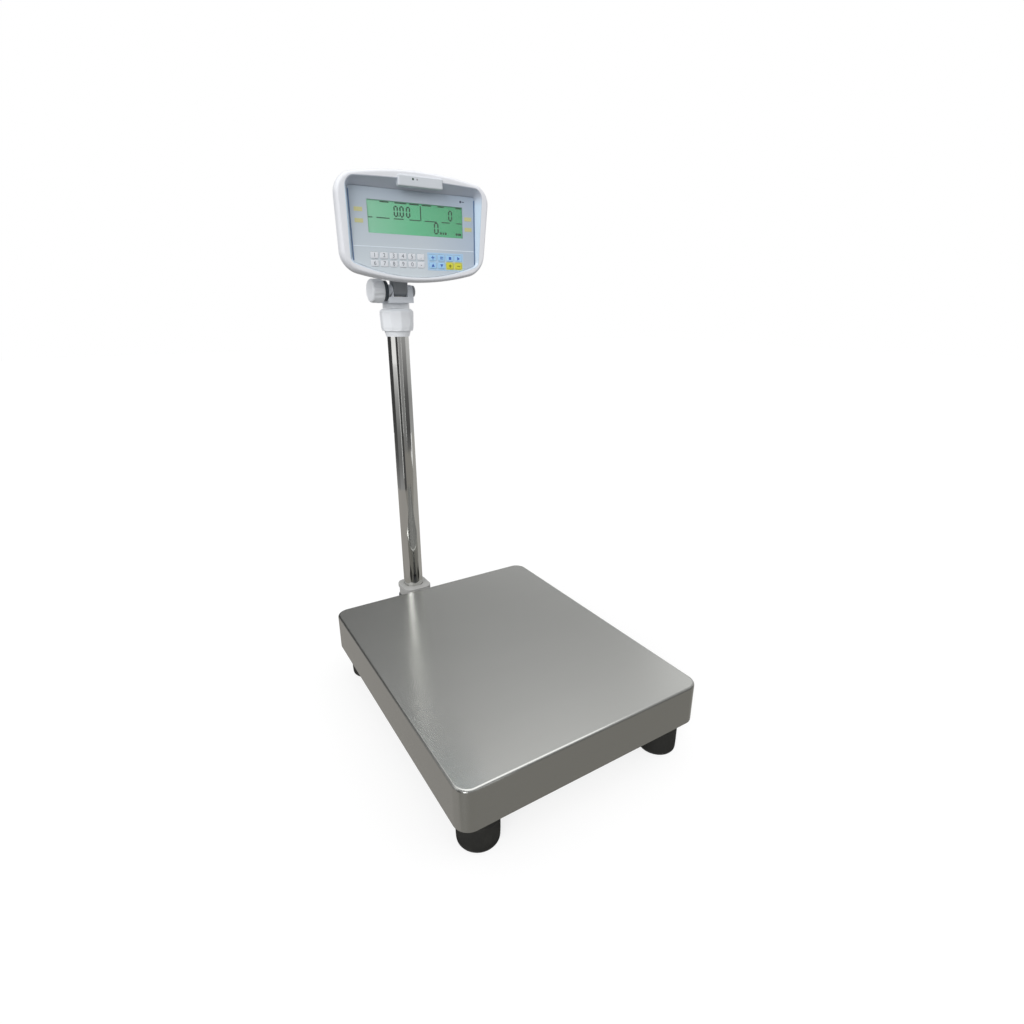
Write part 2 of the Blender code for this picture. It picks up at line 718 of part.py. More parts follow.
def base_frame():
    """Two cross rails over the feet, joined by a deep tray that holds the load cell."""
    tray_length = 2 * FOOT_SPREAD_Y
    frame = span_box("base_frame", (-TRAY_WIDTH / 2, PAN_Y - tray_length / 2, TRAY_BOTTOM),
                     (TRAY_WIDTH / 2, BACK_RAIL_FRONT + FIT, FRAME_TOP), "painted_frame")
    for end, sy in (("front", -1), ("back", 1)):
        y = PAN_Y + sy * FOOT_SPREAD_Y
        join(frame, box("rail_" + end, (2 * RAIL_HALF_LENGTH, RAIL_WIDTH, RAIL_HEIGHT),
                        (0, y, (FRAME_BOTTOM + FRAME_TOP) / 2)))
    saddle_low = BRACKET_TOP + FIT
    join(frame, span_box("saddle", (-BRACKET_WIDTH / 2, BACK_RAIL_FRONT, saddle_low),
                         (BRACKET_WIDTH / 2, BACK_RAIL_Y + RAIL_WIDTH / 2,
                          FRAME_BOTTOM + RAIL_WALL)))
    for end, sy in (("front", -1), ("back", 1)):
        y = PAN_Y + sy * FOOT_SPREAD_Y
        cut(frame, channel_cutter("rail_hollow_" + end, 2 * RAIL_HALF_LENGTH, RAIL_WIDTH,
                                  RAIL_WALL, FRAME_BOTTOM + RAIL_WALL, FRAME_TOP + RAIL_WALL,
                                  0, y))
    cut(frame, channel_cutter("tray_hollow", TRAY_WIDTH, tray_length - RAIL_WIDTH, TRAY_WALL,
                              TRAY_TOP, FRAME_TOP + RAIL_WALL, 0, PAN_Y))
    for corner, x, y in corners(FOOT_SPREAD_X, FOOT_SPREAD_Y):
        join(frame, rod("foot_boss_" + corner, FOOT_BOSS_RADIUS, FRAME_BOTTOM + RAIL_WALL / 2,
                        FRAME_TOP - RAIL_WALL, (x, y, 0), sides=20),
             rod("lock_nut_" + corner, LOCK_NUT_RADIUS, NUT_BOTTOM, FRAME_BOTTOM + RAIL_WALL / 3,
                 (x, y, 0), sides=6))
    for corner, x, y in corners(STOP_SPREAD_X, TOP_SPREAD_Y):
        join(frame, rod("stop_" + corner, STOP_RADIUS, FRAME_BOTTOM + RAIL_WALL / 2,
                        TOP_BOTTOM - STOP_GAP, (x, y, 0), sides=12))
    for corner, x, y in corners(FOOT_SPREAD_X, FOOT_SPREAD_Y):
        cut(frame, rod("stud_hole_" + corner, STUD_RADIUS + RUN, 0, FRAME_TOP + RAIL_WALL,
                       (x, y, 0), sides=20))
    for side in (-1, 1):
        cut(frame, rod(f"tray_bolt_hole_{side + 1}", BOLT_RADIUS + RUN, 0, FRAME_TOP,
                       (side * BOLT_PITCH / 2, FIXED_END_Y, 0), sides=16))
    tidy(frame)


def top_frame():
    """The spider under the pan: a spine over the load cell and two cross rails."""
    spine_length = 2 * TOP_SPREAD_Y
    middle_z = (TOP_BOTTOM + TOP_TOP) / 2
    frame = box("top_frame", (TOP_SPINE_WIDTH, spine_length, TOP_RAIL_HEIGHT),
                (0, PAN_Y, middle_z), "painted_frame")
    for end, sy in (("front", -1), ("back", 1)):
        join(frame, box("top_rail_" + end,
                        (2 * TOP_RAIL_HALF_LENGTH, TOP_RAIL_WIDTH, TOP_RAIL_HEIGHT),
                        (0, PAN_Y + sy * TOP_SPREAD_Y, middle_z)))
    below = TOP_BOTTOM - TOP_RAIL_WALL
    for end, sy in (("front", -1), ("back", 1)):
        cut(frame, channel_cutter("top_rail_hollow_" + end, 2 * TOP_RAIL_HALF_LENGTH,
                                  TOP_RAIL_WIDTH, TOP_RAIL_WALL, below, TOP_TOP - TOP_RAIL_WALL,
                                  0, PAN_Y + sy * TOP_SPREAD_Y))
    cut(frame, channel_cutter("spine_hollow", TOP_SPINE_WIDTH, spine_length - TOP_RAIL_WIDTH,
                              TOP_RAIL_WALL, below, TOP_TOP - TOP_RAIL_WALL, 0, PAN_Y))
    join(frame, span_box("cell_boss", (-CELL_WIDTH / 2, FREE_END_Y - SPACER_LENGTH / 2, TOP_BOTTOM),
                         (CELL_WIDTH / 2, FREE_END_Y + SPACER_LENGTH / 2,
                          TOP_TOP - TOP_RAIL_WALL / 2)))
    for corner, x, y in corners(STOP_SPREAD_X, TOP_SPREAD_Y):
        join(frame, rod("stop_boss_" + corner, STOP_BOSS_RADIUS, TOP_BOTTOM,
                        TOP_TOP - TOP_RAIL_WALL / 2, (x, y, 0), sides=12))
    for side in (-1, 1):
        cut(frame, rod(f"top_bolt_hole_{side + 1}", BOLT_RADIUS + RUN, TOP_BOTTOM - RAIL_WALL,
                       TOP_TOP + RAIL_WALL, (side * BOLT_PITCH / 2, FREE_END_Y, 0), sides=16))
    return frame


def load_cell():
    """An aluminium beam with the two joined holes that make its thin bending walls."""
    middle_z = (CELL_BOTTOM + CELL_TOP) / 2
    cell = box("load_cell", (CELL_WIDTH, CELL_LENGTH, CELL_HEIGHT), (0, PAN_Y, middle_z),
               "cell_aluminium")
    through = CELL_WIDTH
    eyes = box("cell_slot", (2 * through, 2 * CELL_HOLE_SPREAD, CELL_SLOT), (0, PAN_Y, middle_z))
    for sy in (-1, 1):
        join(eyes, rod(f"cell_eye_{sy + 1}", CELL_HOLE_RADIUS, -through, through,
                       (0, PAN_Y + sy * CELL_HOLE_SPREAD, middle_z), "X", sides=20))
    cut(cell, eyes)
    for side in (-1, 1):
        x = side * BOLT_PITCH / 2
        cut(cell, rod(f"cell_low_hole_{side + 1}", BOLT_RADIUS + RUN, CELL_BOTTOM - FIT,
                      CELL_BOTTOM + BOLT_DEPTH + FIT, (x, FIXED_END_Y, 0), sides=16),
            rod(f"cell_high_hole_{side + 1}", BOLT_RADIUS + RUN, CELL_TOP - BOLT_DEPTH - FIT,
                CELL_TOP + FIT, (x, FREE_END_Y, 0), sides=16))


def cell_spacer(name, bottom, y):
    spacer = box(name, (CELL_WIDTH, SPACER_LENGTH, SPACER_HEIGHT),
                 (0, y, bottom + SPACER_HEIGHT / 2), "zinc_steel")
    for side in (-1, 1):
        cut(spacer, rod(f"{name}_hole_{side + 1}", BOLT_RADIUS + RUN, bottom - FIT,
                        bottom + SPACER_HEIGHT + FIT, (side * BOLT_PITCH / 2, y, 0), sides=16))
    return spacer


def cell_bolts(name, seat, tip, y):
    """Two bolts on one clamp plate. Their heads lie past the seat, and their threads end at
    the tip, so the pair points up or down."""
    out = math.copysign(1.0, seat - tip)
    near = seat + out * FIT
    far = near + out * BOLT_PLATE
    head = far + out * BOLT_HEAD_HEIGHT
    plate = box(name, (BOLT_PITCH + 2.4 * BOLT_HEAD_RADIUS, 2.4 * BOLT_HEAD_RADIUS, BOLT_PLATE),
                (0, y, (near + far) / 2), "zinc_steel")
    for side in (-1, 1):
        x = side * BOLT_PITCH / 2
        overlap = out * BOLT_PLATE / 2
        join(plate, rod(f"{name}_head_{side + 1}", BOLT_HEAD_RADIUS, min(far - overlap, head),
                        max(far - overlap, head), (x, y, 0), sides=6),
             rod(f"{name}_shank_{side + 1}", BOLT_RADIUS, min(tip, near + overlap),
                 max(tip, near + overlap), (x, y, 0), sides=16))
    return plate


def pan_pads():
    for corner, x, y in corners(PAD_SPREAD_X, TOP_SPREAD_Y):
        bead = PAD_HEIGHT / 4
        yield turned("pan_pad_" + corner,
                     [(0, PAD_HEIGHT), (PAD_RADIUS - bead, PAD_HEIGHT),
                      (PAD_RADIUS, PAD_HEIGHT - bead), (PAD_RADIUS, 0), (0, 0)],
                     (x, y, PAD_BOTTOM), finish="black_rubber", steps=20)


def bubble_level():
    """A round vial in a cup, on the floor of the back rail."""
    rim = LEVEL_RADIUS
    turned("bubble_level",
           [(0, LEVEL_HEIGHT), (rim * 0.6, LEVEL_HEIGHT * 0.95), (rim * 0.75, LEVEL_HEIGHT * 0.85),
            (rim * 0.85, LEVEL_HEIGHT), (rim, LEVEL_HEIGHT), (rim, 0), (0, 0)],
           (LEVEL_X, BACK_RAIL_Y, FRAME_BOTTOM + RAIL_WALL + FIT), finish="level_green", steps=20)


def foot(corner, x, y):
    """A rubber pad on a threaded stud, which screws in the frame to level the scale."""
    hole = STUD_RADIUS + RUN
    hole_bottom = FOOT_HEIGHT - STUD_DEPTH
    edge = arc(FOOT_RADIUS - FOOT_EDGE, FOOT_EDGE, FOOT_EDGE, 0, -90, 3)
    pad = turned("foot_pad_" + corner,
                 [(0, hole_bottom), (hole, hole_bottom), (hole, FOOT_HEIGHT),
                  (FOOT_RADIUS * 0.86, FOOT_HEIGHT), (FOOT_RADIUS, FOOT_HEIGHT * 0.9)]
                 + edge + [(0, 0)], (x, y, 0), finish="black_rubber", steps=24)
    stud = rod("foot_stud_" + corner, STUD_RADIUS, hole_bottom + FIT,
               FLANGE_BOTTOM + STUD_FLANGE + STUD_ABOVE_FLANGE, (x, y, 0), finish="zinc_steel",
               sides=20)
    join(stud, rod("stud_flange_" + corner, STUD_FLANGE_RADIUS, FLANGE_BOTTOM,
                   FLANGE_BOTTOM + STUD_FLANGE, (x, y, 0), sides=6))
    level = anchor(f"foot_{corner}_axis", (x, y, 0))
    hang(level, pad, stud)


# Pillar

def pillar_bracket():
    """A folded channel bolted under the back rail, with a stub that the pillar slips over."""
    front = BACK_RAIL_FRONT + 2 * FIT
    back = PILLAR_Y + BRACKET_BACK
    bottom = BRACKET_TOP - BRACKET_HEIGHT
    bracket = span_box("pillar_bracket", (-BRACKET_WIDTH / 2, front, bottom),
                       (BRACKET_WIDTH / 2, back, BRACKET_TOP), "painted_frame")
    cut(bracket, span_box("bracket_hollow",
                          (-BRACKET_WIDTH / 2 + BRACKET_WALL, front - BRACKET_WALL,
                           bottom - BRACKET_WALL),
                          (BRACKET_WIDTH / 2 - BRACKET_WALL, back - BRACKET_WALL,
                           BRACKET_TOP - BRACKET_WALL)))
    stub = PILLAR_RADIUS - PILLAR_WALL - RUN
    join(bracket, rod("pillar_stub", stub, BRACKET_TOP - BRACKET_WALL / 2,
                      BRACKET_TOP + STUB_HEIGHT, (0, PILLAR_Y, 0), sides=32))
    cut(bracket, rod("stub_bore", STUB_BORE, bottom, BRACKET_TOP + 2 * STUB_HEIGHT,
                     (0, PILLAR_Y, 0), sides=24))


def pillar_socket():
    """A grey block with a lipped top round the pillar's foot."""
    bottom = BRACKET_TOP + FIT
    top = bottom + SOCKET_HEIGHT
    depth = SOCKET_FRONT + SOCKET_BACK
    lower = rounded_rectangle(SOCKET_WIDTH - 2 * SOCKET_LIP, depth - 2 * SOCKET_LIP,
                              SOCKET_CORNER - SOCKET_LIP)
    upper = rounded_rectangle(SOCKET_WIDTH, depth, SOCKET_CORNER)
    centre = (0, PILLAR_Y + (SOCKET_BACK - SOCKET_FRONT) / 2, 0)
    socket = sheet("pillar_socket", lower, bottom, top - SOCKET_CAP / 2, centre,
                   finish="grey_plastic")
    join(socket, soften(sheet("socket_cap", upper, top - SOCKET_CAP, top, centre), SOCKET_ROUND))
    cut(socket, rod("socket_bore", PILLAR_RADIUS + RUN, 0, 2 * top, (0, PILLAR_Y, 0), sides=32))


def pillar_tube():
    inner = PILLAR_RADIUS - PILLAR_WALL
    turned("pillar_tube", [(inner, PILLAR_LENGTH), (PILLAR_RADIUS, PILLAR_LENGTH),
                           (PILLAR_RADIUS, 0), (inner, 0)],
           (0, PILLAR_Y, BRACKET_TOP + FIT), finish="polished_stainless", steps=32, ring=True)


def pillar_collar():
    """The moulded cap that clamps on the tube's top and carries the swivel."""
    height = COLLAR_TOP - COLLAR_BOTTOM
    bore = PILLAR_RADIUS + RUN
    pivot = SPIGOT_RADIUS + RUN
    step = COLLAR_GRIP + FIT
    turned("pillar_collar",
           [(pivot, height), (COLLAR_TOP_RADIUS, height),
            (COLLAR_RADIUS, height - COLLAR_SHOULDER_DROP),
            (COLLAR_LOW_RADIUS, COLLAR_LOW_HEIGHT), (COLLAR_STEP_RADIUS, COLLAR_STEP_HEIGHT),
            (COLLAR_NECK_RADIUS, COLLAR_NECK_HEIGHT), (COLLAR_FOOT_RADIUS, 0),
            (bore, 0), (bore, step), (pivot, step)],
           (0, PILLAR_Y, COLLAR_BOTTOM), finish="grey_plastic", steps=32, ring=True)


# Head

def swivel_yoke():
    """A forked piece that turns on the collar and holds the indicator's lug."""
    centre = (0, PILLAR_Y, 0)
    yoke = rod("swivel_yoke", YOKE_RING_RADIUS, YOKE_BOTTOM, BAR_BOTTOM + YOKE_BAR / 4, centre,
               finish="grey_plastic", sides=32)
    join(yoke, rod("yoke_spigot", SPIGOT_RADIUS, YOKE_BOTTOM - SPIGOT_DEPTH,
                   YOKE_BOTTOM + YOKE_BAR / 4, centre, sides=24))
    front = YOKE_EYE + YOKE_FRONT
    join(yoke, span_box("yoke_bar", (YOKE_LEFT, HINGE_Y - front, BAR_BOTTOM),
                        (YOKE_RIGHT, PILLAR_Y + YOKE_BACK, BAR_TOP)))
    foot_z = BAR_BOTTOM + YOKE_SEAT - HINGE_Z
    cheek = arc(0, 0, YOKE_EYE, 180, 0, 10) + [(YOKE_EYE + YOKE_HEEL, foot_z), (-front, foot_z)]
    join(yoke, upright("yoke_cheek_left", cheek, YOKE_LEFT, YOKE_LEFT + YOKE_CHEEK),
         upright("yoke_cheek_right", cheek, YOKE_RIGHT - YOKE_CHEEK, YOKE_RIGHT))
    cut(yoke, rod("yoke_hinge_hole", HINGE_BOLT_RADIUS + RUN, YOKE_LEFT - REACH,
                  YOKE_RIGHT + REACH, (0, HINGE_Y, HINGE_Z), "X", sides=20),
        rod("yoke_cable_hole", SPIGOT_BORE, 0, 2 * BAR_TOP, centre, sides=16))
    return yoke


def upright(name, outline, low, high, finish=None):
    """A plate that stands in the Y-Z plane round the hinge axis, between two places on X."""
    obj = sheet(name, outline, low, high, (0, HINGE_Y, HINGE_Z), finish=finish)
    obj.data.transform(Matrix(((0, 0, 1, 0), (1, 0, 0, 0), (0, 1, 0, 0), (0, 0, 0, 1))))
    return obj


def tilt_clamp():
    """The knob, its bolt and the washer under it."""
    centre = (0, HINGE_Y, HINGE_Z)
    washer_right = YOKE_LEFT - FIT
    washer_left = washer_right - WASHER_LENGTH
    knob_right = washer_left - FIT
    knob_left = knob_right - KNOB_LENGTH
    hole = HINGE_BOLT_RADIUS + RUN
    washer = turned("knob_washer",
                    [(hole, WASHER_LENGTH), (WASHER_RADIUS, WASHER_LENGTH), (WASHER_RADIUS, 0),
                     (hole, 0)],
                    (washer_left, HINGE_Y, HINGE_Z), "X", "black_rubber", 28, ring=True)
    points = 6 * KNOB_LOBES
    outline = []
    for i in range(points):
        turn = 2 * math.pi * i / points
        radius = KNOB_RADIUS - KNOB_FLUTE * max(0.0, -math.cos(KNOB_LOBES * turn))
        outline.append((radius * math.cos(turn), radius * math.sin(turn)))
    knob = upright("clamp_knob", outline, knob_left, knob_right, "grey_plastic")
    soften(knob, KNOB_ROUND, 2, 60)
    cut(knob, rod("knob_bore", hole, knob_right - KNOB_BOLT_DEPTH - FIT, knob_right + FIT,
                  centre, "X", sides=20))
    bolt = rod("hinge_bolt", HINGE_BOLT_RADIUS, knob_right - KNOB_BOLT_DEPTH,
               YOKE_RIGHT + FIT + NUT_LENGTH + HINGE_BOLT_END, centre, "X", "zinc_steel", 20)
    turn = anchor("clamp_knob_axis", centre)
    hang(turn, washer, knob, bolt)


def hinge_nut():
    centre = (0, HINGE_Y, HINGE_Z)
    low = YOKE_RIGHT + FIT
    nut = rod("hinge_nut", NUT_RADIUS, low, low + NUT_LENGTH, centre, "X", "grey_plastic", 24)
    soften(nut, NUT_ROUND, 2, 60)
    cut(nut, rod("nut_bore", HINGE_BOLT_RADIUS + RUN, low - REACH, low + NUT_LENGTH + REACH,
                 centre, "X", sides=20))
    return nut


# Indicator

def shell_section(share, inset=0.0):
    """The rear shell's outline at a share of the way from the parting plane to its back."""
    reach = max(share, 0.0)
    narrow = reach ** 1.3
    back_top = SHELL_BACK_HALF + SHELL_BACK_WIDER
    half_top = HOUSING_HALF_TOP + narrow * (back_top - HOUSING_HALF_TOP) - inset
    half_bottom = HOUSING_HALF_BOTTOM + narrow * (SHELL_BACK_HALF - HOUSING_HALF_BOTTOM) - inset
    top = HOUSING_TOP + reach ** 1.6 * (SHELL_BACK_TOP - HOUSING_TOP) - inset
    bottom = HOUSING_BOTTOM + reach * (SHELL_BACK_BOTTOM - HOUSING_BOTTOM) + inset
    bulge = 1 - reach
    outline = crowned_outline(half_bottom, half_top, bottom, top,
                              HOUSING_BOTTOM_BULGE * bulge, HOUSING_TOP_BULGE * bulge,
                              HOUSING_BOTTOM_CORNER - inset / 2, HOUSING_TOP_CORNER - inset / 2)
    return [(x, PARTING_PLANE(z) + FIT + share * (SHELL_BACK_Y - PARTING_PLANE(z) - FIT), z)
            for x, z in outline]


def rear_shell():
    """The moulded back of the housing: it narrows to the rear and carries the hinge lug."""
    outer = [shell_section(share) for share in (0.0, 0.13, 0.3, 0.55, 0.8, 0.93)]
    outer += [shell_section(0.985, SHELL_BACK_ROUND * 0.4), shell_section(1.0, SHELL_BACK_ROUND)]
    shell = loft("rear_shell", outer, "housing_plastic")
    inner = [shell_section(share, HOUSING_WALL) for share in (-0.05, 0.16, 0.4, 0.7, 0.9)]
    inner.append([(x, SHELL_BACK_Y - HOUSING_WALL, z)
                  for x, y, z in shell_section(1.0, HOUSING_WALL + SHELL_BACK_ROUND / 2)])
    cut(shell, loft("shell_hollow", inner))
    eye = HINGE_RISE - LUG_EYE_GAP
    reach = SHELL_BACK_BOTTOM + HOUSING_WALL - HINGE_Z
    lug = arc(0, 0, eye, 200, 340, 10) + [(LUG_NECK_FRONT, reach),
                                          (-eye - LUG_HEEL, reach - LUG_SLOPE)]
    join(shell, upright("hinge_lug", lug, YOKE_X - LUG_HALF_WIDTH, YOKE_X + LUG_HALF_WIDTH))
    cut(shell, rod("lug_hole", HINGE_BOLT_RADIUS + RUN, YOKE_LEFT - REACH, YOKE_RIGHT + REACH,
                   (0, HINGE_Y, HINGE_Z), "X", sides=20))
    back = (SHELL_BACK_Y - 2 * HOUSING_WALL, SHELL_BACK_Y + HOUSING_WALL)
    holes = span_box("port_hole", (-PORT_WIDTH / 2 - FIT, back[0],
                                   CONNECTOR_Z - PORT_HEIGHT / 2 - FIT),
                     (PORT_WIDTH / 2 + FIT, back[1], CONNECTOR_Z + PORT_HEIGHT / 2 + FIT))
    cut(shell, holes,
        rod("gland_hole", GLAND_RADIUS + RUN, *back, (-CONNECTOR_X, 0, CONNECTOR_Z), "Y",
            sides=20),
        rod("inlet_hole", INLET_RADIUS + RUN, *back, (CONNECTOR_X, 0, CONNECTOR_Z), "Y",
            sides=20))
    return shell


def recess_sections(grow, floor):
    """The recess for the panel, from its floor out through the mouth under the hood."""
    flat = panel_outline(grow + FIT)
    mouth = mouth_outline(grow)
    return [at_plane(flat, lambda z: floor), at_plane(flat, lambda z: PANEL_Y),
            at_plane(mouth, lambda z: RIM_PLANE(z) + RECESS_LIP)]


def front_bezel():
    """The front frame: a rounded rim, a hood over the panel and a recess behind it."""
    rounding = ((0.0, 0.0), (0.0, 0.35), (0.12, 0.68), (0.45, 0.90), (1.0, 1.0))
    sections = [between_planes(housing_outline(inset * RIM_ROUND), share)
                for inset, share in rounding]
    bezel = loft("front_bezel", sections, "housing_plastic")
    wall = HOUSING_WALL
    hollow_shares = (-0.30, 0.35, 0.62)
    hollow = loft("bezel_hollow", [between_planes(housing_outline(wall), share)
                                   for share in hollow_shares])
    cut(bezel, hollow)
    pocket = recess_sections(wall, FLOOR_BACK_Y)
    join(bezel, loft("recess_walls", pocket))
    tab_top = HOUSING_TOP - TAB_FROM_TOP
    tab_front = RIM_PLANE(tab_top) - TAB_PROUD
    recess = recess_sections(0.0, FLOOR_Y)
    far = [(x, y - REACH, z) for x, y, z in recess[-1]]
    cut(bezel, loft("recess", recess + [far]))
    tab = span_box("hood_tab", (TAB_X - TAB_HALF_WIDTH, tab_front, tab_top - TAB_HEIGHT),
                   (TAB_X + TAB_HALF_WIDTH, tab_front + TAB_DEPTH, tab_top))
    join(bezel, soften(tab, TAB_ROUND))
    cut(bezel, display_block("bezel_window", FIT, FLOOR_Y - FIT, FLOOR_BACK_Y + FIT))
    for name, first, last in key_blocks():
        margin_x = KEY_WIDTH / 2 + KEY_WELL_MARGIN
        margin_z = KEY_HEIGHT / 2 + KEY_WELL_MARGIN
        low_z = KEY_TOP_Z - (KEY_ROWS - 1) * KEY_PITCH_Z
        cut(bezel, span_box("well_" + name, (first - margin_x, FLOOR_Y - FIT, low_z - margin_z),
                            (last + margin_x, FLOOR_BACK_Y + FIT, KEY_TOP_Z + margin_z)))
    return bezel


def key_blocks():
    """Each block of keys, with the x of its first and last column."""
    numbers_end = KEY_FIRST_X + (NUMBER_COLUMNS - 1) * KEY_PITCH_X
    functions_start = numbers_end + KEY_BLOCK_GAP
    yield "number", KEY_FIRST_X, numbers_end
    yield "function", functions_start, functions_start + (FUNCTION_COLUMNS - 1) * KEY_PITCH_X


def key_places():
    """Each key's name, place and finish, row by row."""
    for block, first, last in key_blocks():
        columns = NUMBER_COLUMNS if block == "number" else FUNCTION_COLUMNS
        for row in range(KEY_ROWS):
            for column in range(columns):
                yellow = block == "function" and row == 1 and column > 1
                finish = "white_key" if block == "number" else "blue_key"
                yield (f"{block}_key_{row * columns + column + 1}", first + column * KEY_PITCH_X,
                       KEY_TOP_Z - row * KEY_PITCH_Z, "yellow_key" if yellow else finish)


def overlay_panel():
    """The printed front panel, with an opening for the display and one for each key."""
    outline = panel_outline(0.0)
    panel = loft("overlay_panel", [at_plane(outline, lambda z: PANEL_BACK_Y),
                                   at_plane(outline, lambda z: PANEL_Y)], "panel_film")
    cut(panel, display_block("panel_window", FIT, PANEL_Y - FIT, PANEL_BACK_Y + FIT))
    opening = rounded_rectangle(KEY_WIDTH + 2 * FIT, KEY_HEIGHT + 2 * FIT, KEY_CORNER + FIT, 2)
    for name, x, z, finish in key_places():
        cut(panel, sheet("opening_" + name, opening, PANEL_Y - FIT, PANEL_BACK_Y + FIT,
                         (x, 0, z), "Y"))
    return panel


def key(name, x, z, finish):
    """A key cap in its opening, with a flange behind the panel and a stem to the board."""
    cap = sheet(name, rounded_rectangle(KEY_WIDTH, KEY_HEIGHT, KEY_CORNER, 2),
                PANEL_Y - KEY_PROUD, PANEL_BACK_Y + FIT + KEY_FLANGE / 2, (x, 0, z), "Y", finish)
    front = PANEL_BACK_Y + FIT
    back = front + KEY_FLANGE
    flange = box("flange_" + name, (KEY_WIDTH + 2 * KEY_FLANGE_WIDER, KEY_FLANGE,
                                    KEY_HEIGHT + 2 * KEY_FLANGE_WIDER),
                 (x, (front + back) / 2, z))
    stem = rod("stem_" + name, KEY_STEM_RADIUS, back - KEY_FLANGE / 2,
               BOARD_Y - KEY_TRAVEL - FIT, (x, 0, z), "Y", sides=8)
    join(cap, flange, stem)
    return cap


def display_block(name, wider, front, back, finish=None):
    """A block behind the display's outline, wider than it on all sides."""
    half_x = DISPLAY_WIDTH / 2 + wider
    half_z = DISPLAY_HEIGHT / 2 + wider
    return span_box(name, (DISPLAY_X - half_x, front, DISPLAY_Z - half_z),
                    (DISPLAY_X + half_x, back, DISPLAY_Z + half_z), finish)


def display():
    """The clear window in the panel and the module behind it."""
    window = display_block("display_window", 0.0, PANEL_Y, PANEL_BACK_Y, "display_glass")
    module = display_block("display_module", 0.0, PANEL_BACK_Y + FIT, BOARD_Y - FIT,
                           "display_green")
    join(module, display_block("module_border", MODULE_BORDER, FLOOR_BACK_Y + FIT, BOARD_Y - FIT))
    return window, module


def circuit_board():
    top = DISPLAY_Z + DISPLAY_HEIGHT / 2 + MODULE_BORDER
    return span_box("circuit_board", (-BOARD_WIDTH / 2, BOARD_Y, top - BOARD_HEIGHT),
                    (BOARD_WIDTH / 2, BOARD_Y + BOARD_THICKNESS, top), "board_green")


def battery():
    width, depth, height = BATTERY_SIZE
    back = SHELL_BACK_Y - HOUSING_WALL - FIT
    top = SHELL_BACK_TOP - BATTERY_DROP
    return span_box("battery", (-width / 2, back - depth, top - height),
                    (width / 2, back, top), "dark_plastic")


def cable_gland():
    """A threaded body through the shell, with a dome nut outside and a flange inside."""
    inside = -HOUSING_WALL - FIT
    return turned("cable_gland",
                  [(GLAND_BORE, GLAND_LENGTH), (GLAND_RADIUS * 0.75, GLAND_LENGTH),
                   (GLAND_NUT_RADIUS, GLAND_LENGTH * 0.7), (GLAND_NUT_RADIUS, FIT),
                   (GLAND_RADIUS, FIT), (GLAND_RADIUS, inside), (GLAND_NUT_RADIUS, inside),
                   (GLAND_NUT_RADIUS, inside - GLAND_FLANGE),
                   (GLAND_BORE, inside - GLAND_FLANGE)],
                  (-CONNECTOR_X, SHELL_BACK_Y, CONNECTOR_Z), "Y", "dark_plastic", 20, ring=True)


def power_inlet():
    """A round low voltage socket with a centre pin, open to the back."""
    return turned("power_inlet",
                  [(0, -INLET_PIN_DROP), (INLET_PIN, -INLET_PIN_DROP), (INLET_PIN, -INLET_DEPTH),
                   (INLET_BORE, -INLET_DEPTH), (INLET_BORE, INLET_FLANGE),
                   (INLET_FLANGE_RADIUS, INLET_FLANGE), (INLET_FLANGE_RADIUS, FIT),
                   (INLET_RADIUS, FIT), (INLET_RADIUS, -INLET_LENGTH), (0, -INLET_LENGTH)],
                  (CONNECTOR_X, SHELL_BACK_Y, CONNECTOR_Z), "Y", "dark_plastic", 20)


def serial_port():
    """A D-shaped socket block with a flange and two hexagonal posts."""
    y = SHELL_BACK_Y
    block = span_box("serial_port",
                     (-PORT_WIDTH / 2, y - HOUSING_WALL - PORT_DEPTH,
                      CONNECTOR_Z - PORT_HEIGHT / 2),
                     (PORT_WIDTH / 2, y + PORT_FLANGE, CONNECTOR_Z + PORT_HEIGHT / 2),
                     "zinc_steel")
    half_low = PORT_WIDTH * 0.25
    half_high = PORT_WIDTH * 0.28
    half_z = PORT_HEIGHT * 0.32
    shape = [(-half_low, -half_z), (half_low, -half_z), (half_high, half_z), (-half_high, half_z)]
    join(block, sheet("port_shell", shape, y, y + PORT_SHELL, (0, 0, CONNECTOR_Z), "Y"))
    for side in (-1, 1):
        join(block, rod(f"port_post_{side + 1}", PORT_POST_RADIUS, y, y + PORT_POST,
                        (side * PORT_WIDTH * 0.4, 0, CONNECTOR_Z), "Y", sides=6))
    return block


# Assembly

def smoothing_nodes():
    """Nodes for a modifier that shades faces smooth between edges that stay sharp."""
    group = bpy.data.node_groups.new("smooth_by_angle", "GeometryNodeTree")
    for direction in ("INPUT", "OUTPUT"):
        group.interface.new_socket("Geometry", in_out=direction,
                                   socket_type="NodeSocketGeometry")
    start = group.nodes.new("NodeGroupInput")
    end = group.nodes.new("NodeGroupOutput")
    angle = group.nodes.new("GeometryNodeInputMeshEdgeAngle")
    gentle = group.nodes.new("FunctionNodeCompare")
    gentle.operation = "LESS_THAN"
    gentle.inputs["B"].default_value = math.radians(SHARP_ANGLE)
    edges = group.nodes.new("GeometryNodeSetShadeSmooth")
    edges.domain = "EDGE"
    faces = group.nodes.new("GeometryNodeSetShadeSmooth")
    faces.domain = "FACE"
    group.links.new(angle.outputs["Unsigned Angle"], gentle.inputs["A"])
    group.links.new(gentle.outputs["Result"], edges.inputs["Shade Smooth"])
    group.links.new(start.outputs["Geometry"], faces.inputs["Geometry"])
    group.links.new(faces.outputs["Geometry"], edges.inputs["Geometry"])
    group.links.new(edges.outputs["Geometry"], end.inputs["Geometry"])
    return group


def shade_smooth():
    nodes = smoothing_nodes()
    for obj in PARTS.objects:
        if obj.type == "MESH":
            obj.modifiers.new("smooth", "NODES").node_group = nodes


